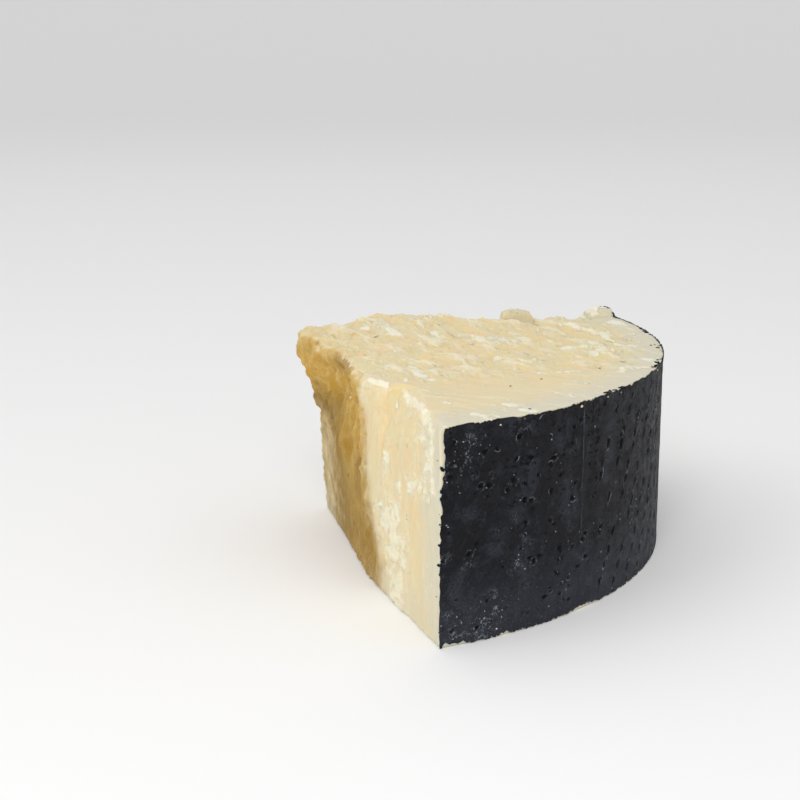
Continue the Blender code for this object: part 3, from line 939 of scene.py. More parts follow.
def describe_surface(mesh):
    """Stores what the finish needs to know at each point."""
    points, normals = mesh_arrays(mesh)
    place = Surroundings(points)
    on_top = faces(normals, UP, *TOP_FACING)
    on_cut = faces(normals, CUT_OUT, *SIDE_FACING)
    store(mesh, "smear", smear_field(points, place, on_top, on_cut))
    past = past_ridge(place)
    softness = np.interp(place.height, *zip(*OCHRE_EDGE))
    by_height = np.interp(place.height, *zip(*OCHRE_BY_HEIGHT))
    level = faces(normals, UP, 0.55, 0.92)
    inside = 1.0 - step(place.inside_cut, *OCHRE_INSIDE)
    inside *= 1.0 - level * step(place.height, *OCHRE_UNDER_TOP)
    share, low, high = OCHRE_BY_BREAK
    inside *= 1.0 - share * faces(normals, BREAK_OUT, low, high)
    # The ochre tone: partly deeper paste, partly painted shade, fading in softly before the ridge
    ochre = step(past + OCHRE_START * softness, 0.0, softness) * by_height * inside
    ochre *= 1.0 - 0.45 * step(place.along_cut, 0.112, 0.150) * (1.0 - step(place.height, 0.034, 0.052))
    lip = OCHRE_LIP * step(past, -0.004, 0.024) * (1.0 - step(place.inside_cut, 0.004, 0.018))
    store(mesh, "ochre", np.maximum(ochre, lip * step(place.height, 0.050, 0.060)))
    # Painted shade in the darkest places of the hollows
    deepest = np.zeros(len(points))
    for along, height, half_along, half_up in PAINTED_SHADE_SPOTS:
        spot = bell(place.along_cut - along, half_along) * bell(place.height - height, half_up)
        deepest = np.maximum(deepest, spot)
    store(mesh, "deepest", deepest * inside * step(past, -0.003, 0.001))
    # Painted shadow on the lower broken part, well past the ridge
    store(mesh, "dry", step(past, 0.022, 0.050) * (1.0 - step(place.height, 0.044, 0.058)))
    torn = flaking_share(place)
    store(mesh, "torn", torn)
    store(mesh, "on_top", on_top)
    flat = along_scallops(points)
    store(mesh, "crest", masked(flat, torn * level, lambda p: lumps(p, (1.0, TOP_LAYERS[1]), 4, LONG)))
    on_break = faces(normals, BREAK_OUT, *SIDE_FACING)
    store(mesh, "on_break", on_break * (1.0 - on_top))
    swollen = np.zeros(len(points))
    for along, depth, height, half_sizes in LUMPS.values():
        near = bell(place.along_break - along, 1.3 * half_sizes[0])
        near *= bell(place.inside_break - depth, 2.0 * half_sizes[1])
        swollen = np.maximum(swollen, near * step(place.height, height - 0.4 * half_sizes[2], height))
    store(mesh, "swollen", swollen)
    rough = step(past, *CRUMB_START) * step(place.height, *CRUMB_ZONE) * (1.0 - on_top)
    clear = step(place.inside_rind, 0.0024, 0.0045)
    cut_flakes = 0.16 * on_cut * (1.0 - on_top) * (1.0 - step(past, -0.014, -0.006))
    flaky = on_top * (0.12 + 0.88 * torn) + cut_flakes
    drifts = 0.25 + 1.6 * step(lumps(points, (1.0, 0.009), 2), -0.1, 0.5)
    store(mesh, "flaky", flaky * drifts * clear * step(place.height, 0.002, 0.004))
    broken = on_break + 0.13 * rough * on_cut
    store(mesh, "crumbly", np.clip(broken, 0.0, 1.0) * clear * step(place.height, 0.0015, 0.003))
    degrees = degrees_round(points)
    chipped = np.full(len(points), RIM_CHIPS_LEAST)
    for middle, spread, share in CHIP_GROUPS:
        chipped = np.maximum(chipped, share * bell(degrees - middle, spread))
    rim = (1.0 - step(place.inside_rind, 0.0009, 0.0030)) * step(place.height, 0.066, 0.068)
    rim *= chipped * faces(normals, UP, 0.1, 0.5)
    corner = 1.0 - step(place.inside_rind, 0.0002, 0.0006)
    corner *= step(lumps(points, (1.0, 0.008), 2), -0.3, 0.3)
    corner *= on_cut * step(place.height, 0.001, 0.003) * (1.0 - step(place.height, 0.064, 0.066))
    store(mesh, "by_rim", rim + CORNER_CHIPS * corner)


# ---- Coat ----


def circle_meets_break():
    """The degrees at which the rind meets the broken far side."""
    back = APEX.dot(BREAK_ALONG)
    reach = -back + math.sqrt(back * back + WHEEL_RADIUS**2 - APEX.length_squared)
    point = APEX + BREAK_ALONG * reach
    return math.degrees(math.atan2(point.y, point.x))


NEAR_DEGREES = math.degrees(math.atan2(FRONT_CORNER.y, FRONT_CORNER.x))
END_DEGREES = circle_meets_break()
DEGREE_LENGTH = math.radians(1.0) * WHEEL_RADIUS  # of one degree of the rind
METRE_DEGREES = math.degrees(1.0 / WHEEL_RADIUS)


def dimple_list():
    """Every dimple of the rind: degrees, height, half-width, half-height, lean, and depth share."""
    draw = random.Random(SEED)
    dimples = []
    stretches = ((NEAR_DEGREES + 0.8, SEAM_DEGREES + 3.0), (DOT_DEGREES[1], END_DEGREES - 1.0))
    for (low, high), count in zip(stretches, SINGLE_PITS):
        for _ in range(count):
            size = draw.uniform(*PIT_SIZE)
            lean = draw.uniform(-0.8, 0.8)
            shape = draw.uniform(1.0, 1.7)
            degrees = draw.uniform(low, high)
            height = draw.uniform(*PIT_HEIGHTS)
            dimples.append((degrees, height, size * shape, size, lean, draw.uniform(0.5, 1.0)))
    rows = int((DOT_DEGREES[1] - DOT_DEGREES[0]) * DEGREE_LENGTH / DOT_ROW_STEP) + 4
    for row in range(rows):
        for index in range(int(SLAB_HEIGHT / DOT_STEP)):
            height = DOT_CLEAR[0] + (index + 0.5 * (row % 2)) * DOT_STEP + draw.uniform(*DOT_STRAY)
            sideways = (row - 3) * DOT_ROW_STEP + DOT_ROW_LEAN * height + draw.uniform(*DOT_STRAY)
            degrees = DOT_DEGREES[0] + sideways / DEGREE_LENGTH
            in_rows = DOT_DEGREES[0] < degrees < DOT_DEGREES[1] and height < SLAB_HEIGHT - DOT_CLEAR[1]
            if in_rows and draw.random() < DOTS_LEFT:
                narrow, tall = DOT_SIZE
                size = draw.uniform(0.75, 1.15)
                dimples.append((degrees, height, narrow * size, tall * size, 0.5, draw.uniform(0.6, 1.0)))
    return dimples


def dimple_field(degrees, height):
    """How deep in a dimple each point is, 0 to 1, and how near to its raised lip."""
    deep = np.zeros(len(degrees))
    lip = np.zeros(len(degrees))
    unrolled = np.stack([degrees * DEGREE_LENGTH, height, np.zeros(len(degrees))], axis=1)
    uneven = lumps(unrolled, DIMPLE_RAGS, 3)
    for middle, level, half_width, half_height, lean, share in dimple_list():
        reach = 2.4 * max(half_width, half_height)
        near = (np.abs(degrees - middle) * DEGREE_LENGTH < reach) & (np.abs(height - level) < reach)
        across = (degrees[near] - middle) * DEGREE_LENGTH
        along = height[near] - level
        first = (across * math.cos(lean) - along * math.sin(lean)) / half_width
        second = (across * math.sin(lean) + along * math.cos(lean)) / half_height
        away = np.hypot(first, second) + uneven[near]
        deep[near] = np.maximum(deep[near], share * (1.0 - step(away, 0.35, 1.15)))
        lip[near] = np.maximum(lip[near], share * bell(away - 1.45, 0.30))
    return deep, lip


def rags(count, length, seed, sizes=EDGE_RAGS):
    """A ragged line: its offset at each of count places along a length."""
    height, width = sizes
    places = [Vector((index * length / (count - 1) / width, seed * 7.3, 0.5)) for index in range(count)]
    return height * np.array([noise.fractal(point, 0.6, 2.3, 3) for point in places])


def coat_skin(columns, rows, depth_at):
    """A grid bent round the wheel, between the coat's ragged edges. Returns its points and their place."""
    arc = math.radians(END_DEGREES - NEAR_DEGREES) * WHEEL_RADIUS
    across = np.linspace(0.0, 1.0, columns)
    up = np.linspace(0.0, 1.0, rows)
    margin = np.interp(up * SLAB_HEIGHT, *zip(*CUT_MARGINS))
    left = NEAR_DEGREES + np.maximum(margin + rags(rows, SLAB_HEIGHT, 1), LEAST_EDGE) * METRE_DEGREES
    right = END_DEGREES - (BREAK_MARGIN + BREAK_RAGS * rags(rows, SLAB_HEIGHT, 2)) * METRE_DEGREES
    round_wheel = NEAR_DEGREES + (END_DEGREES - NEAR_DEGREES) * across
    foot = np.interp(round_wheel, *zip(*FOOT_HEIGHTS)) + rags(columns, arc, 3)
    foot = np.maximum(foot, LEAST_FOOT)
    top = SLAB_HEIGHT - TOP_MARGIN - np.interp(round_wheel, *zip(*RIM_DEPTHS))
    top += np.minimum(TOP_RAGS[0] * rags(columns, arc, 4), TOP_RAGS[1])
    degrees = left[:, None] + (right - left)[:, None] * across[None, :]
    heights = foot[None, :] + (top - foot)[None, :] * up[:, None]
    degrees, heights = degrees.ravel(), heights.ravel()
    to_side = np.minimum(degrees - np.repeat(left, columns), np.repeat(right, columns) - degrees)
    to_side /= METRE_DEGREES
    to_edge = np.minimum(heights - np.tile(foot, rows), np.tile(top, rows) - heights)
    to_edge = np.minimum(to_edge, to_side)
    depth = depth_at(degrees, heights, to_edge)
    radius = WHEEL_RADIUS - WHEEL_TAPER * (1.0 - heights / SLAB_HEIGHT) - depth
    turn = np.radians(degrees)
    return np.stack([radius * np.cos(turn), radius * np.sin(turn), heights], axis=1)


def outer_depth(depth):
    """How far the coat's outside lies within the wheel's round, for a depth of dimple."""

    def at(degrees, heights, to_edge):
        turn = np.radians(degrees)
        points = np.stack([np.cos(turn), np.sin(turn), heights / WHEEL_RADIUS], axis=1) * WHEEL_RADIUS
        deep, lip = dimple_field(degrees, heights)
        swell = 0.5 * COAT_SWELL[0] + lumps(points, COAT_SWELL, 3)
        across = (degrees - SEAM_DEGREES) * math.radians(1.0) * WHEEL_RADIUS
        seam = SEAM[0] * bell(across, SEAM[1])
        fade = 0.25 + 0.75 * step(to_edge, 0.0, THICKENS_WITHIN[1])
        total = (depth * deep - LIP_HEIGHT * lip + np.maximum(swell, 0.0) - seam + SEAM[0]) * fade
        return np.clip(total, 0.0, BODY_THICKNESS - EDGE_THICKNESS)

    return at


def inner_depth(degrees, heights, to_edge):
    """How far its inside lies within the wheel's round: a little further than the paste under it."""
    thicker = BODY_THICKNESS - EDGE_THICKNESS + INSIDE_SINKS[1]
    return EDGE_THICKNESS + INSIDE_SINKS[0] + thicker * step(to_edge, *INSIDE_THICKENS)


def grid_faces(columns, rows, first, outward):
    """The grid's squares, as vertex numbers from first on."""
    index = first + np.arange(columns * rows).reshape(rows, columns)
    corners = [index[:-1, :-1], index[:-1, 1:], index[1:, 1:], index[1:, :-1]]
    if not outward:
        corners.reverse()
    return np.stack([corner.ravel() for corner in corners], axis=1).tolist()


def rim_of(columns, rows, first):
    """The grid's outline as vertex numbers, once round."""
    index = first + np.arange(columns * rows).reshape(rows, columns)
    return [*index[0, :-1], *index[:-1, -1], *index[-1, :0:-1], *index[:0:-1, 0]]


def make_coat(cell, depth):
    """The coat as a closed skin: fine outside, the same grid inside, and a strip round its edge."""
    arc = math.radians(END_DEGREES - NEAR_DEGREES) * WHEEL_RADIUS
    columns = int(arc / cell) + 1
    rows = int(SLAB_HEIGHT / cell) + 1
    thin = 4
    columns += (1 - columns) % thin
    rows += (1 - rows) % thin
    outer = coat_skin(columns, rows, outer_depth(depth))
    grid = coat_skin(columns, rows, inner_depth).reshape(rows, columns, 3)
    inner = grid[::thin, ::thin].reshape(-1, 3)
    few_columns = (columns - 1) // thin + 1
    few_rows = (rows - 1) // thin + 1
    points = np.concatenate([outer, inner])
    polygons = grid_faces(columns, rows, 0, True) + grid_faces(few_columns, few_rows, len(outer), False)
    outline = rim_of(columns, rows, 0)
    inline = rim_of(few_columns, few_rows, len(outer))
    for index, near in enumerate(inline):
        following = inline[(index + 1) % len(inline)]
        span = [outline[(index * thin + offset) % len(outline)] for offset in range(thin + 1)]
        half = thin // 2
        polygons += [(span[k + 1], span[k], near) for k in range(half)]
        polygons.append((span[half], near, following))
        polygons += [(span[k + 1], span[k], following) for k in range(half, thin)]
    mesh = bpy.data.meshes.new("rind_coat")
    mesh.from_pydata(points.tolist(), [], [[int(v) for v in polygon] for polygon in polygons])
    mesh.update()
    return mesh


# Dense patches of bloom: degrees round the wheel, height, reach, and how dense
BLOOM_CLUSTERS = (
    (-60.6, 0.0625, 0.0032, 6.5),
    (-62.6, 0.0595, 0.0018, 4.5),
    (-62.2, 0.0070, 0.0038, 6.5),
    (-58.7, 0.0050, 0.0044, 5.5),
    (-56.4, 0.0100, 0.0050, 4.5),
    (-53.2, 0.0230, 0.0042, 2.6),
    (-56.0, 0.0330, 0.0050, 1.0),
    (-33.5, 0.0660, 0.0030, 2.0),
    (-19.5, 0.0600, 0.0070, 2.0),
    (-25.0, 0.0220, 0.0110, 1.2),
    (12.0, 0.0300, 0.0120, 1.5),
)


def describe_coat(mesh):
    points, _ = mesh_arrays(mesh)
    degrees = degrees_round(points)
    deep, lip = dimple_field(degrees, points[:, 2])
    store(mesh, "dimple", deep)
    store(mesh, "lip", lip)
    store(mesh, "round_wheel", np.radians(degrees) * WHEEL_RADIUS)
    # Bloom specks gather on the dimples' lips: partly bloom, partly a painted highlight on their rims
    specks = 0.12 + 0.5 * step(lumps(points, (1.0, 0.010), 3), 0.15, 0.6) + 1.2 * lip
    for middle, height, reach, share in BLOOM_CLUSTERS:
        away = np.hypot((degrees - middle) * math.radians(1.0) * WHEEL_RADIUS, points[:, 2] - height)
        specks += share * bell(away, reach)
    outside = np.hypot(points[:, 0], points[:, 1]) > WHEEL_RADIUS - WHEEL_TAPER - 0.0009
    store(mesh, "speckled", specks * outside)


# ---- Finishes ----


def feed(tree, socket, value):
    if isinstance(value, bpy.types.NodeSocket):
        tree.links.new(value, socket)
    else:
        socket.default_value = value


def add_node(tree, kind, settings=(), **inputs):
    """A node with its settings and inputs, each a constant or another node's output."""
    node = tree.nodes.new(kind)
    for key, value in dict(settings).items():
        setattr(node, key, value)
    for key, value in inputs.items():
        feed(tree, node.inputs[key.replace("_", " ")], value)
    return node


class Finish:
    """A procedural material, with short ways to add nodes to it."""

    def __init__(self, name):
        self.material = bpy.data.materials.new(name)
        self.material.use_nodes = True
        self.tree = self.material.node_tree
        self.shader = self.tree.nodes["Principled BSDF"]
        self.place = self.add("ShaderNodeTexCoord").outputs["Object"]

    def add(self, kind, settings=(), **inputs):
        return add_node(self.tree, kind, settings, **inputs)

    def feed(self, socket, value):
        feed(self.tree, socket, value)

    def attribute(self, name):
        return self.add("ShaderNodeAttribute", {"attribute_name": name}).outputs["Fac"]

    def turned(self, heading, stretch):
        """The place, turned to a heading, with patterns drawn out by a stretch."""
        node = self.add("ShaderNodeMapping", {"vector_type": "TEXTURE"}, Vector=self.place)
        node.inputs["Rotation"].default_value = (0.0, 0.0, heading)
        node.inputs["Scale"].default_value = stretch
        return node.outputs["Vector"]

    def cloud(self, place, width, detail=3.0, roughness=0.55, distortion=0.0):
        """Noise of a width in metres."""
        node = self.add("ShaderNodeTexNoise", Vector=place, Scale=1.0 / width, Detail=detail)
        node.inputs["Roughness"].default_value = roughness
        node.inputs["Distortion"].default_value = distortion
        return node.outputs["Fac"]

    def swing(self, cloud, amount):
        """A cloud's values about zero, times an amount."""
        return self.times(self.math("SUBTRACT", cloud, 0.5), amount)

    def ramp(self, value, low, high, start=0.0, end=1.0):
        node = self.add("ShaderNodeMapRange", {"interpolation_type": "SMOOTHSTEP"}, Value=value)
        for key, number in {"From Min": low, "From Max": high, "To Min": start, "To Max": end}.items():
            node.inputs[key].default_value = number
        return node.outputs["Result"]

    def math(self, operation, first, second=0.0):
        node = self.add("ShaderNodeMath", {"operation": operation})
        self.feed(node.inputs[0], first)
        self.feed(node.inputs[1], second)
        return node.outputs["Value"]

    def height(self):
        return self.add("ShaderNodeSeparateXYZ", Vector=self.place).outputs["Z"]

    def vectors(self, operation, first, second=None):
        node = self.add("ShaderNodeVectorMath", {"operation": operation})
        self.feed(node.inputs[0], first)
        if second is not None:
            self.feed(node.inputs[1], second)
        return node.outputs

    def times(self, *values):
        result = values[0]
        for value in values[1:]:
            result = self.math("MULTIPLY", result, value)
        return result

    def between(self, share, first, second):
        """A plain value between two others."""
        node = self.add("ShaderNodeMix", {"data_type": "FLOAT"})
        for index, value in ((0, share), (2, first), (3, second)):
            self.feed(node.inputs[index], value)
        return node.outputs[0]

    def mix(self, share, first, second):
        """A colour between two others."""
        node = self.add("ShaderNodeMix", {"data_type": "RGBA"})
        sockets = {socket.identifier: socket for socket in node.inputs}
        self.feed(sockets["Factor_Float"], share)
        self.feed(sockets["A_Color"], first)
        self.feed(sockets["B_Color"], second)
        return next(socket for socket in node.outputs if socket.identifier == "Result_Color")

    def bump(self, height, distance, below=None):
        node = self.add("ShaderNodeBump", Height=height)
        node.inputs["Strength"].default_value = 1.0
        node.inputs["Distance"].default_value = distance
        if below is not None:
            self.tree.links.new(below, node.inputs["Normal"])
        return node.outputs["Normal"]

    def shade(self, color, roughness, normal, **constants):
        self.feed(self.shader.inputs["Base Color"], color)
        self.feed(self.shader.inputs["Roughness"], roughness)
        self.tree.links.new(normal, self.shader.inputs["Normal"])
        for key, value in constants.items():
            self.shader.inputs[key.replace("_", " ")].default_value = value
        return self.material


BRIGHTEST = (0.935, 0.895, 0.745, 1.0)  # the whitest of the smears on the top
STREAK_SHARE = 0.50
CREST_SHARE = 0.62
VALLEY_SHARE = 0.38
RIM_PALENESS = (0.0230, 0.0030)  # how far from the round edge the pale paste starts, and where it is full
SPREAD_IN_PASTE = (0.0022, 0.0015, 0.0008)  # how far red, green and blue light spread in it


def paste_finish(name, colors, scatters):
    """Straw paste: streaks the way it was torn or cut, whitish smears, a pale rim, and ochre hollows that
    are partly painted shade.
    """
    f = Finish(name)
    on_top = f.attribute("on_top")
    torn = f.attribute("torn")
    across_top = f.turned(SCALLOP_HEADING, (3.2, 1.0, 1.0))
    along_band = f.turned(math.radians(-30.0), (6.0, 1.0, 1.0))
    down_cut = f.turned(CUT_HEADING, (1.0, 1.0, 3.4))

    tone = f.ramp(f.cloud(f.place, 0.016, 3.0), 0.34, 0.70, 0.08, 0.85)
    color = f.mix(tone, colors.straw, colors.peach)

    # Streaks: long ones on the smooth band, torn ones behind it, upright ones on the cut
    band = f.ramp(f.cloud(along_band, 0.0032, 4.0, 0.6), 0.50, 0.74)
    scales = f.ramp(f.cloud(across_top, 0.0042, 6.0, 0.66, 0.5), 0.48, 0.66)
    uprights = f.ramp(f.cloud(down_cut, 0.0030, 5.0, 0.62, 0.3), 0.50, 0.74)
    streaks = f.between(on_top, uprights, f.between(torn, band, scales))
    streaks = f.times(streaks, f.ramp(f.attribute("ochre"), 0.5, 0.1, 0.15, 1.0))
    color = f.mix(f.times(streaks, STREAK_SHARE), color, colors.whitish)
    # The torn layers: whiter on their crests, and warmer between them
    frayed = f.swing(f.cloud(across_top, 0.0014, 4.0, 0.65), 1.2)
    relief = f.math("ADD", f.attribute("crest"), frayed)
    crests = f.times(f.ramp(relief, 0.22, 0.48), torn, on_top, CREST_SHARE)
    color = f.mix(crests, color, colors.whitish)
    valleys = f.times(f.ramp(relief, -0.10, -0.50), torn, on_top, VALLEY_SHARE)
    color = f.mix(valleys, color, colors.peach)

    # Pale paste near the rind, by the distance from the wheel's axis
    from_axis = f.vectors("SUBTRACT", f.place, AXIS)[0]
    level = f.vectors("MULTIPLY", from_axis, (1.0, 1.0, 0.0))[0]
    waver = f.swing(f.cloud(f.place, 0.010, 3.0), 0.009)
    reach = f.math("ADD", f.vectors("LENGTH", level)["Value"], waver)
    pale = f.ramp(reach, *(WHEEL_RADIUS - inside for inside in RIM_PALENESS))
    height = f.math("ADD", f.height(), waver)
    foot = f.ramp(height, 0.016, 0.003, 0.0, 0.6)
    pale = f.math("MAXIMUM", pale, foot)
    on_lumps = f.times(f.attribute("swollen"), 0.75)
    color = f.mix(f.math("MAXIMUM", f.times(pale, 0.9), on_lumps), color, colors.near_rind)
    rim_streaks = f.ramp(f.cloud(across_top, 0.0030, 4.0, 0.65), 0.55, 0.68)
    color = f.mix(f.times(rim_streaks, pale, on_top, 0.8), color, colors.whitish)

    # Crisp ragged smears
    stray = f.swing(f.cloud(across_top, 0.0011, 4.0, 0.7), 1.5)
    smear = f.ramp(f.math("ADD", f.attribute("smear"), stray), -0.04, 0.38)
    inner = f.ramp(f.cloud(across_top, 0.0018, 4.0, 0.65), 0.36, 0.60, 0.45, 0.90)
    color = f.mix(f.times(smear, inner), color, f.mix(on_top, colors.whitish, BRIGHTEST))
    # A haze of it round those on the cut
    hazy = f.times(f.ramp(f.attribute("smear"), -0.85, 0.1, 0.0, 0.42), f.ramp(on_top, 0.6, 0.1))
    hazy = f.times(hazy, f.ramp(f.cloud(down_cut, 0.0022, 5.0, 0.7), 0.35, 0.60, 0.35, 1.0))
    color = f.mix(hazy, color, colors.whitish)

    # Deeper tone in the hollows and on the broken part of the left side: partly deeper paste and partly
    # painted shade, with painted shadow browner towards the floor
    drift = f.swing(f.cloud(f.place, 0.006, 4.0), 0.9)
    ochre = f.attribute("ochre")
    depth = f.ramp(f.math("ADD", ochre, f.times(drift, f.ramp(ochre, 0.02, 0.3))), 0.0, 1.0)
    lighter = f.ramp(f.cloud(f.place, 0.0042, 7.0, 0.72, 0.6), 0.46, 0.66, 0.0, 0.27)
    flecks = f.ramp(f.cloud(f.place, 0.0013, 4.0, 0.6), 0.56, 0.70, 0.0, 0.17)
    deep = f.mix(lighter, colors.ochre, colors.peach)
    # Painted shadow on the lower broken part, in tan
    deep = f.mix(f.attribute("dry"), deep, colors.tan)
    deep = f.mix(flecks, deep, colors.peach)
    # Painted shade, brown, in the darkest places of the hollows
    deepest = f.ramp(f.math("ADD", f.attribute("deepest"), f.times(drift, 0.5)), 0.1, 0.9, 0.0, 0.8)
    # Painted shadow, browner towards the floor
    painted_shadow_by_floor = f.ramp(height, 0.056, 0.014, 0.0, 0.72)
    deep = f.mix(f.math("MAXIMUM", deepest, painted_shadow_by_floor), deep, colors.painted_shade_brown)
    color = f.mix(f.times(depth, 0.97), color, deep)

    # Granular far side
    grains = f.ramp(f.cloud(f.place, 0.0026, 5.0, 0.7, 0.8), 0.50, 0.64)
    color = f.mix(f.times(grains, f.attribute("on_break"), 0.45), color, colors.whitish)

    fine = f.cloud(f.place, 0.0007, 3.0, 0.7)
    normal = f.bump(f.times(fine, f.ramp(depth, 0.1, 0.8, 1.0, 0.70)), 0.00016)
    normal = f.bump(streaks, 0.00020, normal)
    normal = f.bump(smear, 0.00018, normal)
    roughness = f.ramp(f.cloud(f.place, 0.002, 3.0), 0.2, 0.8, 0.50, 0.70)
    roughness = f.math("ADD", roughness, f.times(depth, 0.28))
    return f.shade(
        color,
        roughness,
        normal,
        Subsurface_Weight=scatters,
        Subsurface_Radius=SPREAD_IN_PASTE,
        Subsurface_Scale=1.0,
        Specular_IOR_Level=0.20,
    )


def flake_finish(colors):
    f = Finish("paste_flakes")
    tone = f.ramp(f.cloud(f.place, 0.004, 3.0), 0.35, 0.65)
    color = f.mix(tone, colors.whitish, colors.straw)
    normal = f.bump(f.cloud(f.place, 0.0006, 2.0), 0.00006)
    return f.shade(color, 0.55, normal, Specular_IOR_Level=0.3)


# Colours of the coat's thin marks, and the painted shade in its dimples
DULL_BLUE = (0.115, 0.135, 0.170, 1.0)
FILM = (0.34, 0.37, 0.40, 1.0)
DIMPLE_SHADE = (0.0022, 0.0022, 0.0026, 1.0)
SPECK_PALE = (0.45, 0.48, 0.52, 1.0)
SPECK_GREY = (0.20, 0.22, 0.26, 1.0)


def coat_finish(colors):
    """Near-black coat: cloudy dull bloom, scuffs, dimples darkened with painted shade, and a leathery grain.
    """
    f = Finish("rind")
    around = f.attribute("round_wheel")
    height = f.height()
    unrolled = f.add("ShaderNodeCombineXYZ", X=around, Y=height).outputs["Vector"]
    slanted = f.add("ShaderNodeMapping", {"vector_type": "TEXTURE"}, Vector=unrolled)
    slanted.inputs["Rotation"].default_value = (0.0, 0.0, math.radians(62.0))
    slanted.inputs["Scale"].default_value = (5.0, 1.0, 1.0)
    slanted = slanted.outputs["Vector"]

    # Round the wheel, from the part by the cut to the rest
    turn = (math.radians(-44.0) * WHEEL_RADIUS, math.radians(-22.0) * WHEEL_RADIUS)
    wide = f.ramp(f.cloud(unrolled, 0.011, 8.0, 0.74, 0.5), 0.46, 0.66)
    clouds = f.times(wide, f.ramp(f.cloud(unrolled, 0.0011, 6.0, 0.8), 0.36, 0.62, 0.30, 1.25))
    streaks = f.ramp(f.cloud(slanted, 0.0016, 4.0, 0.6), 0.45, 0.75)
    cloudy = f.ramp(around, *turn, 0.46, 0.18)
    color = f.mix(f.times(clouds, cloudy), colors.coat, colors.bloom)
    color = f.mix(f.times(streaks, f.ramp(around, *turn, 0.12, 0.13)), color, colors.bloom)
    speckled = f.ramp(f.attribute("speckled"), 0.3, 2.4)
    dust = f.ramp(f.cloud(unrolled, 0.0007, 5.0, 0.85), 0.56, 0.66)
    dusty = f.math("ADD", f.ramp(f.cloud(unrolled, 0.009, 4.0, 0.6), 0.45, 0.72, 0.22, 0.8), speckled)
    low = f.ramp(height, 0.030, 0.003, 0.0, 1.0)
    dusty = f.math("ADD", dusty, low)
    color = f.mix(f.times(low, 0.36), color, colors.bloom)
    color = f.mix(f.times(dust, dusty, 0.7), color, DULL_BLUE)
    # Thin pale lines where a cloud passes its middle: curls of dried film
    from_middle = f.math("SUBTRACT", f.cloud(unrolled, 0.0024, 3.0, 0.6, 1.2), 0.5)
    curls = f.ramp(f.math("ABSOLUTE", from_middle), 0.022, 0.008)
    patchy = f.ramp(f.cloud(unrolled, 0.0046, 2.0, 0.5), 0.52, 0.60)
    curled = f.math("ADD", f.ramp(f.cloud(unrolled, 0.016, 2.0, 0.5), 0.50, 0.70, 0.0, 0.6), speckled)
    color = f.mix(f.times(curls, patchy, curled, 0.55), color, FILM)
    across = f.math("ABSOLUTE", f.math("SUBTRACT", around, math.radians(SEAM_DEGREES) * WHEEL_RADIUS))
    seam = f.times(f.ramp(across, 0.00040, 0.00012), f.ramp(f.cloud(unrolled, 0.004, 3.0), 0.35, 0.6))
    color = f.mix(f.times(seam, f.ramp(height, 0.012, 0.045), 0.45), color, DULL_BLUE)
    # A pale ring on each dimple's raised lip: partly bloom, partly a painted highlight on its rim
    lip = f.ramp(f.math("ADD", f.attribute("lip"), f.cloud(unrolled, 0.0009, 3.0, 0.7)), 1.0, 1.45)
    color = f.mix(f.times(lip, 0.22), color, FILM)
    # Painted shade inside the dimples
    color = f.mix(f.ramp(f.attribute("dimple"), 0.12, 0.5), color, DIMPLE_SHADE)

    normal = f.bump(f.cloud(unrolled, 0.0008, 6.0, 0.8), 0.00034)
    normal = f.bump(streaks, 0.00006, normal)
    normal = f.bump(f.cloud(unrolled, 0.0036, 4.0, 0.6), 0.00030, normal)
    roughness = f.ramp(f.cloud(unrolled, 0.004, 3.0), 0.3, 0.7, 0.42, 0.62)
    return f.shade(color, roughness, normal, Specular_IOR_Level=0.12)


def speck_finish():
    f = Finish("bloom_specks")
    color = f.mix(f.ramp(f.cloud(f.place, 0.006, 2.0), 0.3, 0.7), SPECK_PALE, SPECK_GREY)
    normal = f.bump(f.cloud(f.place, 0.0003, 2.0), 0.00003)
    return f.shade(color, 0.8, normal, Specular_IOR_Level=0.2)


# ---- Scattered pieces ----


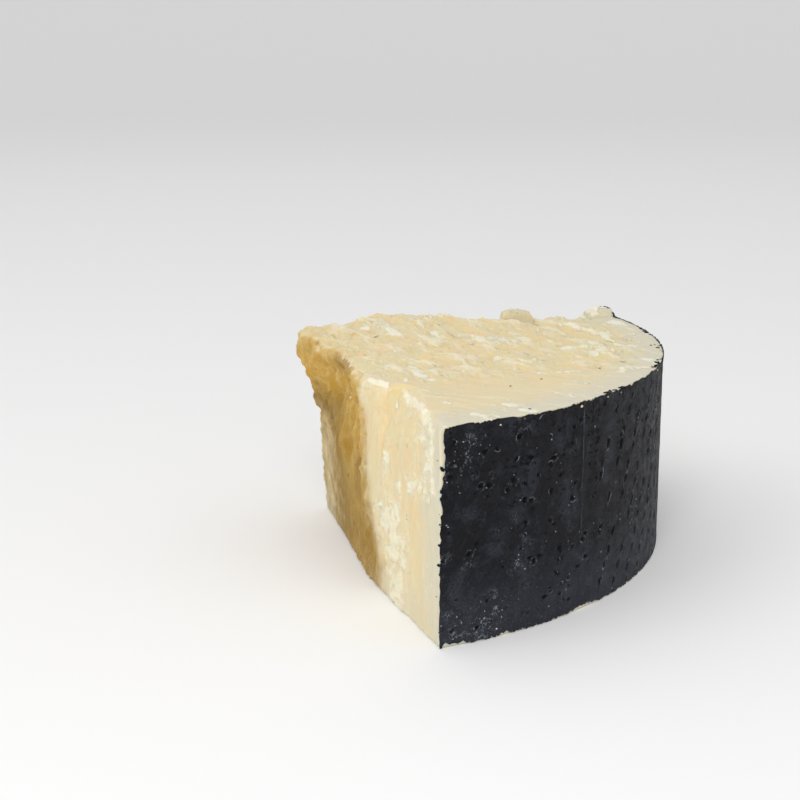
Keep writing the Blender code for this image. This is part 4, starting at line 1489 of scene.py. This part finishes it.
def scatter_tree():
    """Small lumps strewn over a surface: flat and drawn out as flakes, or round as crumbs."""
    tree = bpy.data.node_groups.new("scattered_pieces", "GeometryNodeTree")
    inputs = {
        "Density": "NodeSocketFloat",
        "Where": "NodeSocketString",
        "Length": "NodeSocketFloat",
        "Width": "NodeSocketFloat",
        "Thickness": "NodeSocketFloat",
        "Least size": "NodeSocketFloat",
        "Heading": "NodeSocketVector",
        "Swing": "NodeSocketFloat",
        "Unevenness": "NodeSocketFloat",
        "Seed": "NodeSocketInt",
        "Finish": "NodeSocketMaterial",
    }
    tree.interface.new_socket("Geometry", in_out="INPUT", socket_type="NodeSocketGeometry")
    for name, kind in inputs.items():
        tree.interface.new_socket(name, in_out="INPUT", socket_type=kind)
    tree.interface.new_socket("Geometry", in_out="OUTPUT", socket_type="NodeSocketGeometry")

    def add(kind, settings=(), **inputs):
        return add_node(tree, kind, settings, **inputs)

    def maths(operation, first, second):
        node = add("ShaderNodeMath", {"operation": operation})
        feed(tree, node.inputs[0], first)
        feed(tree, node.inputs[1], second)
        return node.outputs[0]

    given = add("NodeGroupInput").outputs
    share = add("GeometryNodeInputNamedAttribute", {"data_type": "FLOAT"}, Name=given["Where"])
    points = add(
        "GeometryNodeDistributePointsOnFaces",
        {"distribute_method": "RANDOM"},
        Mesh=given["Geometry"],
        Density=maths("MULTIPLY", given["Density"], share.outputs["Attribute"]),
        Seed=given["Seed"],
    )
    along = add(
        "FunctionNodeAlignRotationToVector",
        {"axis": "X", "pivot_axis": "Z"},
        Rotation=points.outputs["Rotation"],
        Vector=given["Heading"],
    )
    swing = add("FunctionNodeRandomValue", {"data_type": "FLOAT"}, Seed=given["Seed"])
    feed(tree, swing.inputs[2], maths("MULTIPLY", given["Swing"], -1.0))
    feed(tree, swing.inputs[3], given["Swing"])
    turned_by = add(
        "FunctionNodeRotateRotation",
        {"rotation_space": "LOCAL"},
        Rotation=along.outputs["Rotation"],
        Rotate_By=add("ShaderNodeCombineXYZ", Z=swing.outputs[1]).outputs["Vector"],
    )

    # Many are small and few are large
    draw = add("FunctionNodeRandomValue", {"data_type": "FLOAT"}, Seed=maths("ADD", given["Seed"], 5.0))
    drawn = maths("POWER", draw.outputs[1], 2.5)
    sizes = add(
        "ShaderNodeCombineXYZ",
        X=maths("MULTIPLY", given["Length"], 0.5),
        Y=maths("MULTIPLY", given["Width"], 0.5),
        Z=maths("MULTIPLY", given["Thickness"], 0.5),
    )
    scale = add(
        "ShaderNodeVectorMath",
        {"operation": "SCALE"},
        Vector=sizes.outputs["Vector"],
        Scale=maths("ADD", given["Least size"], maths("MULTIPLY", drawn, 1.6)),
    )
    copies = add(
        "GeometryNodeInstanceOnPoints",
        Points=points.outputs["Points"],
        Instance=add("GeometryNodeMeshIcoSphere", Radius=1.0, Subdivisions=2).outputs["Mesh"],
        Rotation=turned_by.outputs["Rotation"],
        Scale=scale.outputs["Vector"],
    )
    real = add("GeometryNodeRealizeInstances", Geometry=copies.outputs["Instances"])

    wobble = add("ShaderNodeTexNoise", Scale=1100.0, Detail=1.0)
    centred = add("ShaderNodeVectorMath", {"operation": "SUBTRACT"}, Vector=wobble.outputs["Color"])
    centred.inputs[1].default_value = (0.5, 0.5, 0.5)
    offset = add(
        "ShaderNodeVectorMath",
        {"operation": "SCALE"},
        Vector=centred.outputs["Vector"],
        Scale=given["Unevenness"],
    )
    moved = add("GeometryNodeSetPosition", Geometry=real.outputs["Geometry"])
    feed(tree, moved.inputs["Offset"], offset.outputs["Vector"])
    coloured = add("GeometryNodeSetMaterial", Geometry=moved.outputs["Geometry"], Material=given["Finish"])
    add("NodeGroupOutput", Geometry=coloured.outputs["Geometry"])
    return tree


UNEVENNESS = 0.0006
ANY_WAY = {"Heading": (1.0, 0.0, 0.0), "Swing": math.pi}


def scatter(name, surface, **inputs):
    """A plain mesh of pieces strewn over another piece's surface."""
    tree = bpy.data.node_groups.get("scattered_pieces") or scatter_tree()
    obj = new_object(name, surface.data.copy())
    strewn = obj.modifiers.new("strewn", "NODES")
    strewn.node_group = tree
    for item in tree.interface.items_tree:
        key = item.name.replace(" ", "_")
        if item.in_out == "INPUT" and key in inputs:
            strewn[item.identifier] = inputs[key]
    applied(obj)
    if not obj.data.polygons:
        raise RuntimeError(f"{name}: nothing was scattered")
    keep_in_box(obj.data)
    obj.data.shade_smooth()
    return obj


def shred(curve, points, width):
    """A torn sliver of the coat: a tapering strip through the points."""
    spline = curve.splines.new("POLY")
    spline.points.add(len(points) - 1)
    for index, (target, point) in enumerate(zip(spline.points, points)):
        target.co = (*point, 1.0)
        share = index / (len(points) - 1)
        target.radius = width * (0.25 + 0.75 * math.sin(math.pi * (0.12 + 0.76 * share)))


def surface_tree(obj):
    return BVHTree.FromPolygons(
        [v.co for v in obj.data.vertices], [p.vertices for p in obj.data.polygons]
    )


def on_ground_of(tree, point, lift):
    """The place on the surface right below a point, a little above it."""
    hit = tree.ray_cast(point + UP * 0.02, -UP)[0]
    if hit is None:
        return None
    return hit + UP * lift


# Shreds of the coat that lie over the rim: degrees, how many, and spread in degrees
SHRED_GROUPS = ((-34.6, 11, 2.4), (-17.6, 8, 2.0), (8.0, 6, 3.0), (21.5, 3, 2.5))
SHRED_LENGTH = (0.0008, 0.0024)
SHRED_INSIDE = 0.0004  # how far inside the rind they start
SHRED_LIFT = (0.00008, 0.0003)  # how far they stand off the paste
CURL_SHARE = 0.17  # of the dimples, those with a pale curl along a part of their edge: partly film, partly a painted highlight on the rim
SCRATCH = ((-50.2, 0.0676), (-50.0, 0.0684), (-49.7, 0.0690))


def make_shreds(paste, material):
    draw = random.Random(SEED + 3)
    steps = 5
    curve = new_curve("rind_shreds", 0.00026)
    tree = surface_tree(paste)
    for middle, count, spread in SHRED_GROUPS:
        for _ in range(count):
            turn = math.radians(middle + draw.uniform(-spread, spread))
            heading = turn + math.pi + draw.uniform(-1.2, 1.2)
            point = towards(turn) * (WHEEL_RADIUS - SHRED_INSIDE)
            length = draw.uniform(*SHRED_LENGTH)
            bend = draw.uniform(-0.9, 0.9)
            points = []
            for index in range(steps + 1):
                spot = AXIS + point + UP * SLAB_HEIGHT
                least, rise = SHRED_LIFT
                lift = least + rise * math.sin(math.pi * index / steps) * draw.random()
                placed = on_ground_of(tree, spot, lift)
                if placed is not None:
                    points.append(placed)
                point += towards(heading) * length / steps
                heading += bend / steps
            if len(points) > 2:
                shred(curve, points, draw.uniform(0.5, 1.1))
    return meshed(curve, "rind_shreds", material)


def new_curve(name, half_width):
    curve = bpy.data.curves.new(name, "CURVE")
    curve.dimensions = "3D"
    curve.bevel_depth = half_width
    curve.bevel_resolution = 1
    curve.use_fill_caps = True
    return curve


def meshed(curve, name, material):
    """The curve's strips as one mesh, inside the solid's box."""
    carrier = bpy.data.objects.new("strips", curve)
    bpy.context.scene.collection.objects.link(carrier)
    graph = bpy.context.evaluated_depsgraph_get()
    mesh = bpy.data.meshes.new_from_object(carrier.evaluated_get(graph))
    bpy.data.objects.remove(carrier)
    bm = bmesh.new()
    bm.from_mesh(mesh)
    bmesh.ops.remove_doubles(bm, verts=bm.verts, dist=1e-6)
    bmesh.ops.recalc_face_normals(bm, faces=bm.faces)
    bm.to_mesh(mesh)
    bm.free()
    return finished(name, mesh, material)


def on_coat(tree, degrees, height, lift):
    """The place on the coat's outside at a turn and a height."""
    away = towards(math.radians(degrees))
    start = AXIS + away * (WHEEL_RADIUS + 0.01) + UP * height
    hit = tree.ray_cast(start, -away)[0]
    return None if hit is None else hit + away * lift


def make_curls(coat, material):
    """Thin pale arcs along a part of some dimples' edges, partly film and partly a painted highlight on
    their rims, and one scratch by the rim.
    """
    draw = random.Random(SEED + 5)
    curve = new_curve("film_curls", 0.00008)
    tree = surface_tree(coat)
    for degrees, height, half_width, half_height, lean, _ in dimple_list():
        start = draw.uniform(0.0, 2.0 * math.pi)
        sweep = draw.uniform(0.8, 2.6)
        grow = draw.uniform(1.15, 1.5)
        if draw.random() > CURL_SHARE:
            continue
        points = []
        for index in range(10):
            turn = start + sweep * index / 9
            first, second = half_width * grow * math.cos(turn), half_height * grow * math.sin(turn)
            across = first * math.cos(lean) + second * math.sin(lean)
            along = second * math.cos(lean) - first * math.sin(lean)
            points.append(on_coat(tree, degrees + across * METRE_DEGREES, height + along, 0.00002))
        shred(curve, points, draw.uniform(0.6, 1.1))
    shred(curve, [on_coat(tree, degrees, height, 0.00003) for degrees, height in SCRATCH], 1.3)
    return meshed(curve, "film_curls", material)


# Bits stuck to the surface: degrees and height on the coat, and half-width
STUCK_ON_COAT = (
    (-42.6, 0.0686, 0.00055),
    (-56.1, 0.0681, 0.00030),
    (-56.2, 0.0028, 0.00028),
    (-36.9, 0.0690, 0.00032),
    (-33.4, 0.0688, 0.00026),
    (-18.5, 0.0690, 0.00034),
    (-2.0, 0.0400, 0.00030),
    (15.0, 0.0150, 0.00030),
)
# Dark specks: along the cut and height, or a place on the top
SPECKS_ON_CUT = ((0.0705, 0.0220), (0.0800, 0.0090), (0.0030, 0.0590), (0.0035, 0.0160), (0.0300, 0.0330))
SPECKS_ON_TOP = ((0.0687, -0.1025), (0.1010, -0.0690), (0.1230, -0.0480), (0.0900, -0.0790))
SPECK_SIZE = 0.00024


def make_bits(name, places, material):
    """Small uneven lumps, half sunk in the surface: each has a place, a way out of it, and a size."""
    bm = bmesh.new()
    for place, outward, size in places:
        made = bmesh.ops.create_icosphere(bm, subdivisions=2, radius=1.0)["verts"]
        turn = outward.to_track_quat("Z", "Y")
        for vert in made:
            swell = 1.0 + 0.5 * noise.noise(vert.co * 1.4 + place * 900.0)
            local = Vector((vert.co.x * 1.25, vert.co.y * 0.8, vert.co.z * 0.6)) * size * swell
            vert.co = place + turn @ local
    mesh = bpy.data.meshes.new(name)
    bm.to_mesh(mesh)
    bm.free()
    return finished(name, mesh, material)


def bits_on_coat(coat):
    tree = surface_tree(coat)
    places = []
    for degrees, height, size in STUCK_ON_COAT:
        place = on_coat(tree, degrees, height, -0.1 * size)
        places.append((place, towards(math.radians(degrees)), size))
    return places


def specks_on_paste(paste):
    tree = surface_tree(paste)
    places = []
    for along, height in SPECKS_ON_CUT:
        start = AXIS + FRONT_CORNER + CUT_ALONG * along + CUT_OUT * 0.02 + UP * height
        places.append((tree.ray_cast(start, -CUT_OUT)[0], CUT_OUT, SPECK_SIZE))
    for x, y in SPECKS_ON_TOP:
        start = AXIS + Vector((x, y, 0.1))
        places.append((tree.ray_cast(start, -UP)[0], UP, SPECK_SIZE * 1.4))
    return places


# ---- Operators ----


class CHEESE_OT_paste(bpy.types.Operator):
    """Make the paste: the whole chunk but its black coat"""

    bl_idname = "cheese.paste"
    bl_label = "Paste"

    def execute(self, context):
        shape = context.scene.cheese_shape
        body = wheel_slab()
        tools = [
            blade("knife_cut", CUT_ALONG, CUT_OUT, FRONT_CORNER),
            blade("break", BREAK_ALONG, BREAK_OUT, APEX),
        ]
        for tool in tools:
            combine(body, tool, "DIFFERENCE")
        for name, sizes in LUMPS.items():
            tools.append(lump(name, *sizes))
            combine(body, tools[-1], "UNION")
        applied(body)
        for tool in tools:
            drop(tool)
        skin = body.modifiers.new("skin", "REMESH")
        skin.mode = "SHARP"
        skin.octree_depth = 9
        skin.scale = shape.skin_scale
        applied(body)
        points, normals = mesh_arrays(body.data)
        wear_edges(points, normals)
        break_left_side(points)
        roll_over(body.data, points)
        set_points(body.data, points)
        points, normals = mesh_arrays(body.data)
        carve(points, normals)
        under_coat(points, normals)
        set_points(body.data, points)
        thin_out(body, shape.most_triangles)
        cut_flat(body.data)
        describe_surface(body.data)
        into_part(body.data)
        body.data.shade_smooth()
        body.data.materials.clear()
        body.data.materials.append(paste_finish("paste", context.scene.cheese_colors, 1.0))
        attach(body, "root")
        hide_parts("cheese_chunk")
        return {"FINISHED"}


class CHEESE_OT_coat(bpy.types.Operator):
    """Make the thin black coat on the round side"""

    bl_idname = "cheese.coat"
    bl_label = "Rind coat"

    def execute(self, context):
        shape = context.scene.cheese_shape
        mesh = make_coat(shape.coat_cell, shape.pit_depth)
        describe_coat(mesh)
        into_part(mesh)
        coat = finished("rind_coat", mesh, coat_finish(context.scene.cheese_colors))
        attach(coat, "root")
        return {"FINISHED"}


class CHEESE_OT_shreds(bpy.types.Operator):
    """Make the torn shreds and chips of the coat that lie over the rim"""

    bl_idname = "cheese.shreds"
    bl_label = "Rind shreds"

    def execute(self, context):
        shape = context.scene.cheese_shape
        material = bpy.data.materials["rind"]
        paste = bpy.data.objects["paste"]
        shreds = make_shreds(paste, material)
        chips = scatter(
            "rind_chips",
            paste,
            Density=shape.chip_density,
            Where="by_rim",
            Length=0.0010,
            Width=0.0006,
            Thickness=0.0003,
            Least_size=0.4,
            Unevenness=UNEVENNESS,
            Seed=SEED + 4,
            Finish=material,
            **ANY_WAY,
        )
        for piece in (shreds, chips):
            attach(piece, "root")
        return {"FINISHED"}


class CHEESE_OT_film(bpy.types.Operator):
    """Make the pale curls on some dimples' edges, partly film and partly painted highlight, and the bits
    that stick to the coat
    """

    bl_idname = "cheese.film"
    bl_label = "Film and stuck bits"

    def execute(self, context):
        coat = bpy.data.objects["rind_coat"]
        curls = make_curls(coat, speck_finish())
        bits = make_bits("stuck_bits", bits_on_coat(coat), bpy.data.materials["paste_flakes"])
        for piece, slot in ((curls, "rind"), (bits, "paste")):
            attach(piece, "root")
        return {"FINISHED"}


class CHEESE_OT_specks(bpy.types.Operator):
    """Make the few dark specks on the paste"""

    bl_idname = "cheese.specks"
    bl_label = "Dark specks"

    def execute(self, context):
        paste = bpy.data.objects["paste"]
        specks = make_bits("dark_specks", specks_on_paste(paste), bpy.data.materials["rind"])
        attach(specks, "root")
        return {"FINISHED"}


class CHEESE_OT_flakes(bpy.types.Operator):
    """Strew whitish flakes over the torn top and the cut"""

    bl_idname = "cheese.flakes"
    bl_label = "Flakes"

    def execute(self, context):
        shape = context.scene.cheese_shape
        flakes = scatter(
            "paste_flakes",
            bpy.data.objects["paste"],
            Density=shape.flake_density,
            Where="flaky",
            Length=shape.flake_length,
            Width=shape.flake_length * 0.40,
            Thickness=0.00016,
            Least_size=0.30,
            Heading=(math.cos(SCALLOP_HEADING), math.sin(SCALLOP_HEADING), -0.6),
            Swing=0.5,
            Unevenness=UNEVENNESS,
            Seed=SEED,
            Finish=flake_finish(context.scene.cheese_colors),
        )
        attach(flakes, "root")
        return {"FINISHED"}


class CHEESE_OT_crumbs(bpy.types.Operator):
    """Strew crumbs over the broken sides"""

    bl_idname = "cheese.crumbs"
    bl_label = "Crumbs"

    def execute(self, context):
        shape = context.scene.cheese_shape
        crumbs = scatter(
            "paste_crumbs",
            bpy.data.objects["paste"],
            Density=shape.crumb_density,
            Where="crumbly",
            Length=shape.crumb_size,
            Width=shape.crumb_size * 0.85,
            Thickness=shape.crumb_size * 0.7,
            Least_size=0.4,
            Unevenness=UNEVENNESS,
            Seed=SEED + 1,
            Finish=paste_finish("paste_crumbs", context.scene.cheese_colors, 0.0),
            **ANY_WAY,
        )
        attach(crumbs, "root")
        return {"FINISHED"}


class CHEESE_OT_bloom(bpy.types.Operator):
    """Strew pale specks of bloom over the coat"""

    bl_idname = "cheese.bloom"
    bl_label = "Bloom specks"

    def execute(self, context):
        shape = context.scene.cheese_shape
        specks = scatter(
            "bloom_specks",
            bpy.data.objects["rind_coat"],
            Density=shape.bloom_density,
            Where="speckled",
            Length=0.00040,
            Width=0.00024,
            Thickness=0.00010,
            Least_size=0.30,
            Heading=(0.0, 0.3, 1.0),
            Swing=math.pi,
            Unevenness=0.0002,
            Seed=SEED + 2,
            Finish=bpy.data.materials["bloom_specks"],
        )
        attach(specks, "root")
        return {"FINISHED"}


# Soft boxes: heading and elevation in degrees, distance, size, and power
LIGHTS = {
    "front_box": (-96.0, 34.0, 1.3, 0.6, 5.4),
    "left_box": (-150.0, 38.0, 1.3, 0.7, 1.8),
    "back_box": (100.0, 55.0, 2.0, 1.2, 2.0),
}
LIT_POINT = Vector((0.0, 0.0, 0.03))
WORLD_STRENGTH = 0.66
# The floor: where it starts and ends, its half-width, and the bend and height of the backdrop
FLOOR_START = -4.0
FLOOR_END = 3.0
FLOOR_HALF_WIDTH = 6.0
BACKDROP_BEND = 1.2
BACKDROP_HEIGHT = 4.0
BACKDROP_STEPS = 12


def add_area_light(name, heading, elevation, distance, size, power):
    light = bpy.data.lights.new(name, "AREA")
    light.shape = "SQUARE"
    light.size = size
    light.energy = power
    obj = bpy.data.objects.new(name, light)
    turn = math.radians(heading)
    rise = math.radians(elevation)
    away = Vector((math.cos(turn) * math.cos(rise), math.sin(turn) * math.cos(rise), math.sin(rise)))
    obj.location = LIT_POINT + away * distance
    obj.rotation_euler = away.to_track_quat("Z", "Y").to_euler()
    bpy.context.scene.collection.objects.link(obj)


class CHEESE_OT_stage(bpy.types.Operator):
    """Make the camera, the floor with its backdrop, and the lights"""

    bl_idname = "cheese.stage"
    bl_label = "Stage"

    def execute(self, context):
        scene = context.scene
        camera = bpy.data.cameras.new("camera")
        camera.lens = CAMERA_LENS
        camera.sensor_width = CAMERA_SENSOR
        camera.clip_start = 0.01
        camera.clip_end = 30.0
        eye = bpy.data.objects.new("camera", camera)
        eye.location = AXIS + CAMERA_PLACE
        eye.rotation_euler = (math.pi / 2 - CAMERA_DIP, 0.0, 0.0)
        scene.collection.objects.link(eye)
        scene.camera = eye

        # A floor that sweeps up behind the chunk
        profile = [(FLOOR_START, 0.0), (FLOOR_END, 0.0)]
        for index in range(1, BACKDROP_STEPS + 1):
            turn = math.pi / 2 * index / BACKDROP_STEPS
            up = BACKDROP_BEND * (1.0 - math.cos(turn))
            profile.append((FLOOR_END + BACKDROP_BEND * math.sin(turn), up))
        profile.append((FLOOR_END + BACKDROP_BEND, BACKDROP_HEIGHT))
        bm = bmesh.new()
        for y, z in profile:
            for x in (-FLOOR_HALF_WIDTH, FLOOR_HALF_WIDTH):
                bm.verts.new((x, y, z))
        bm.verts.ensure_lookup_table()
        for first in range(0, 2 * len(profile) - 2, 2):
            bm.faces.new([bm.verts[first + k] for k in (0, 1, 3, 2)])
        mesh = bpy.data.meshes.new("floor")
        bm.to_mesh(mesh)
        bm.free()
        mesh.shade_smooth()
        floor = bpy.data.objects.new("floor", mesh)
        scene.collection.objects.link(floor)
        plain = bpy.data.materials.new("floor")
        plain.use_nodes = True
        shader = plain.node_tree.nodes["Principled BSDF"]
        shader.inputs["Base Color"].default_value = tuple(scene.cheese_colors.floor)
        shader.inputs["Roughness"].default_value = 0.9
        shader.inputs["Specular IOR Level"].default_value = 0.0
        mesh.materials.append(plain)

        world = bpy.data.worlds.new("studio")
        world.use_nodes = True
        background = world.node_tree.nodes["Background"]
        background.inputs["Color"].default_value = (1.0, 1.0, 1.0, 1.0)
        background.inputs["Strength"].default_value = WORLD_STRENGTH
        scene.world = world
        for name, numbers in LIGHTS.items():
            add_area_light(name, *numbers)
        scene.view_settings.view_transform = "Standard"
        return {"FINISHED"}


class CHEESE_PT_panel(bpy.types.Panel):
    """Shows the chunk's settings and the buttons that make its pieces"""

    bl_idname = "CHEESE_PT_panel"
    bl_label = "Pecorino Romano Chunk"
    bl_space_type = "VIEW_3D"
    bl_region_type = "UI"
    bl_category = "Cheese"

    def draw(self, context):
        for group in (context.scene.cheese_shape, context.scene.cheese_colors):
            box = self.layout.box()
            for name in group.bl_rna.properties.keys():
                if name not in ("rna_type", "name"):
                    box.prop(group, name)
        for operator in OPERATORS:
            self.layout.operator(operator.bl_idname)


OPERATORS = (
    CHEESE_OT_stage,
    CHEESE_OT_paste,
    CHEESE_OT_coat,
    CHEESE_OT_shreds,
    CHEESE_OT_flakes,
    CHEESE_OT_crumbs,
    CHEESE_OT_film,
    CHEESE_OT_specks,
    CHEESE_OT_bloom,
)
CLASSES = (CheeseShape, CheeseColors, *OPERATORS, CHEESE_PT_panel)


def register():
    for cls in CLASSES:
        bpy.utils.register_class(cls)
    bpy.types.Scene.cheese_shape = bpy.props.PointerProperty(type=CheeseShape)
    bpy.types.Scene.cheese_colors = bpy.props.PointerProperty(type=CheeseColors)


def unregister():
    del bpy.types.Scene.cheese_colors
    del bpy.types.Scene.cheese_shape
    for cls in reversed(CLASSES):
        bpy.utils.unregister_class(cls)


def main():
    register()
    for operator in OPERATORS:
        group, name = operator.bl_idname.split(".")
        getattr(getattr(bpy.ops, group), name)()


if __name__ == "__main__":
    main()
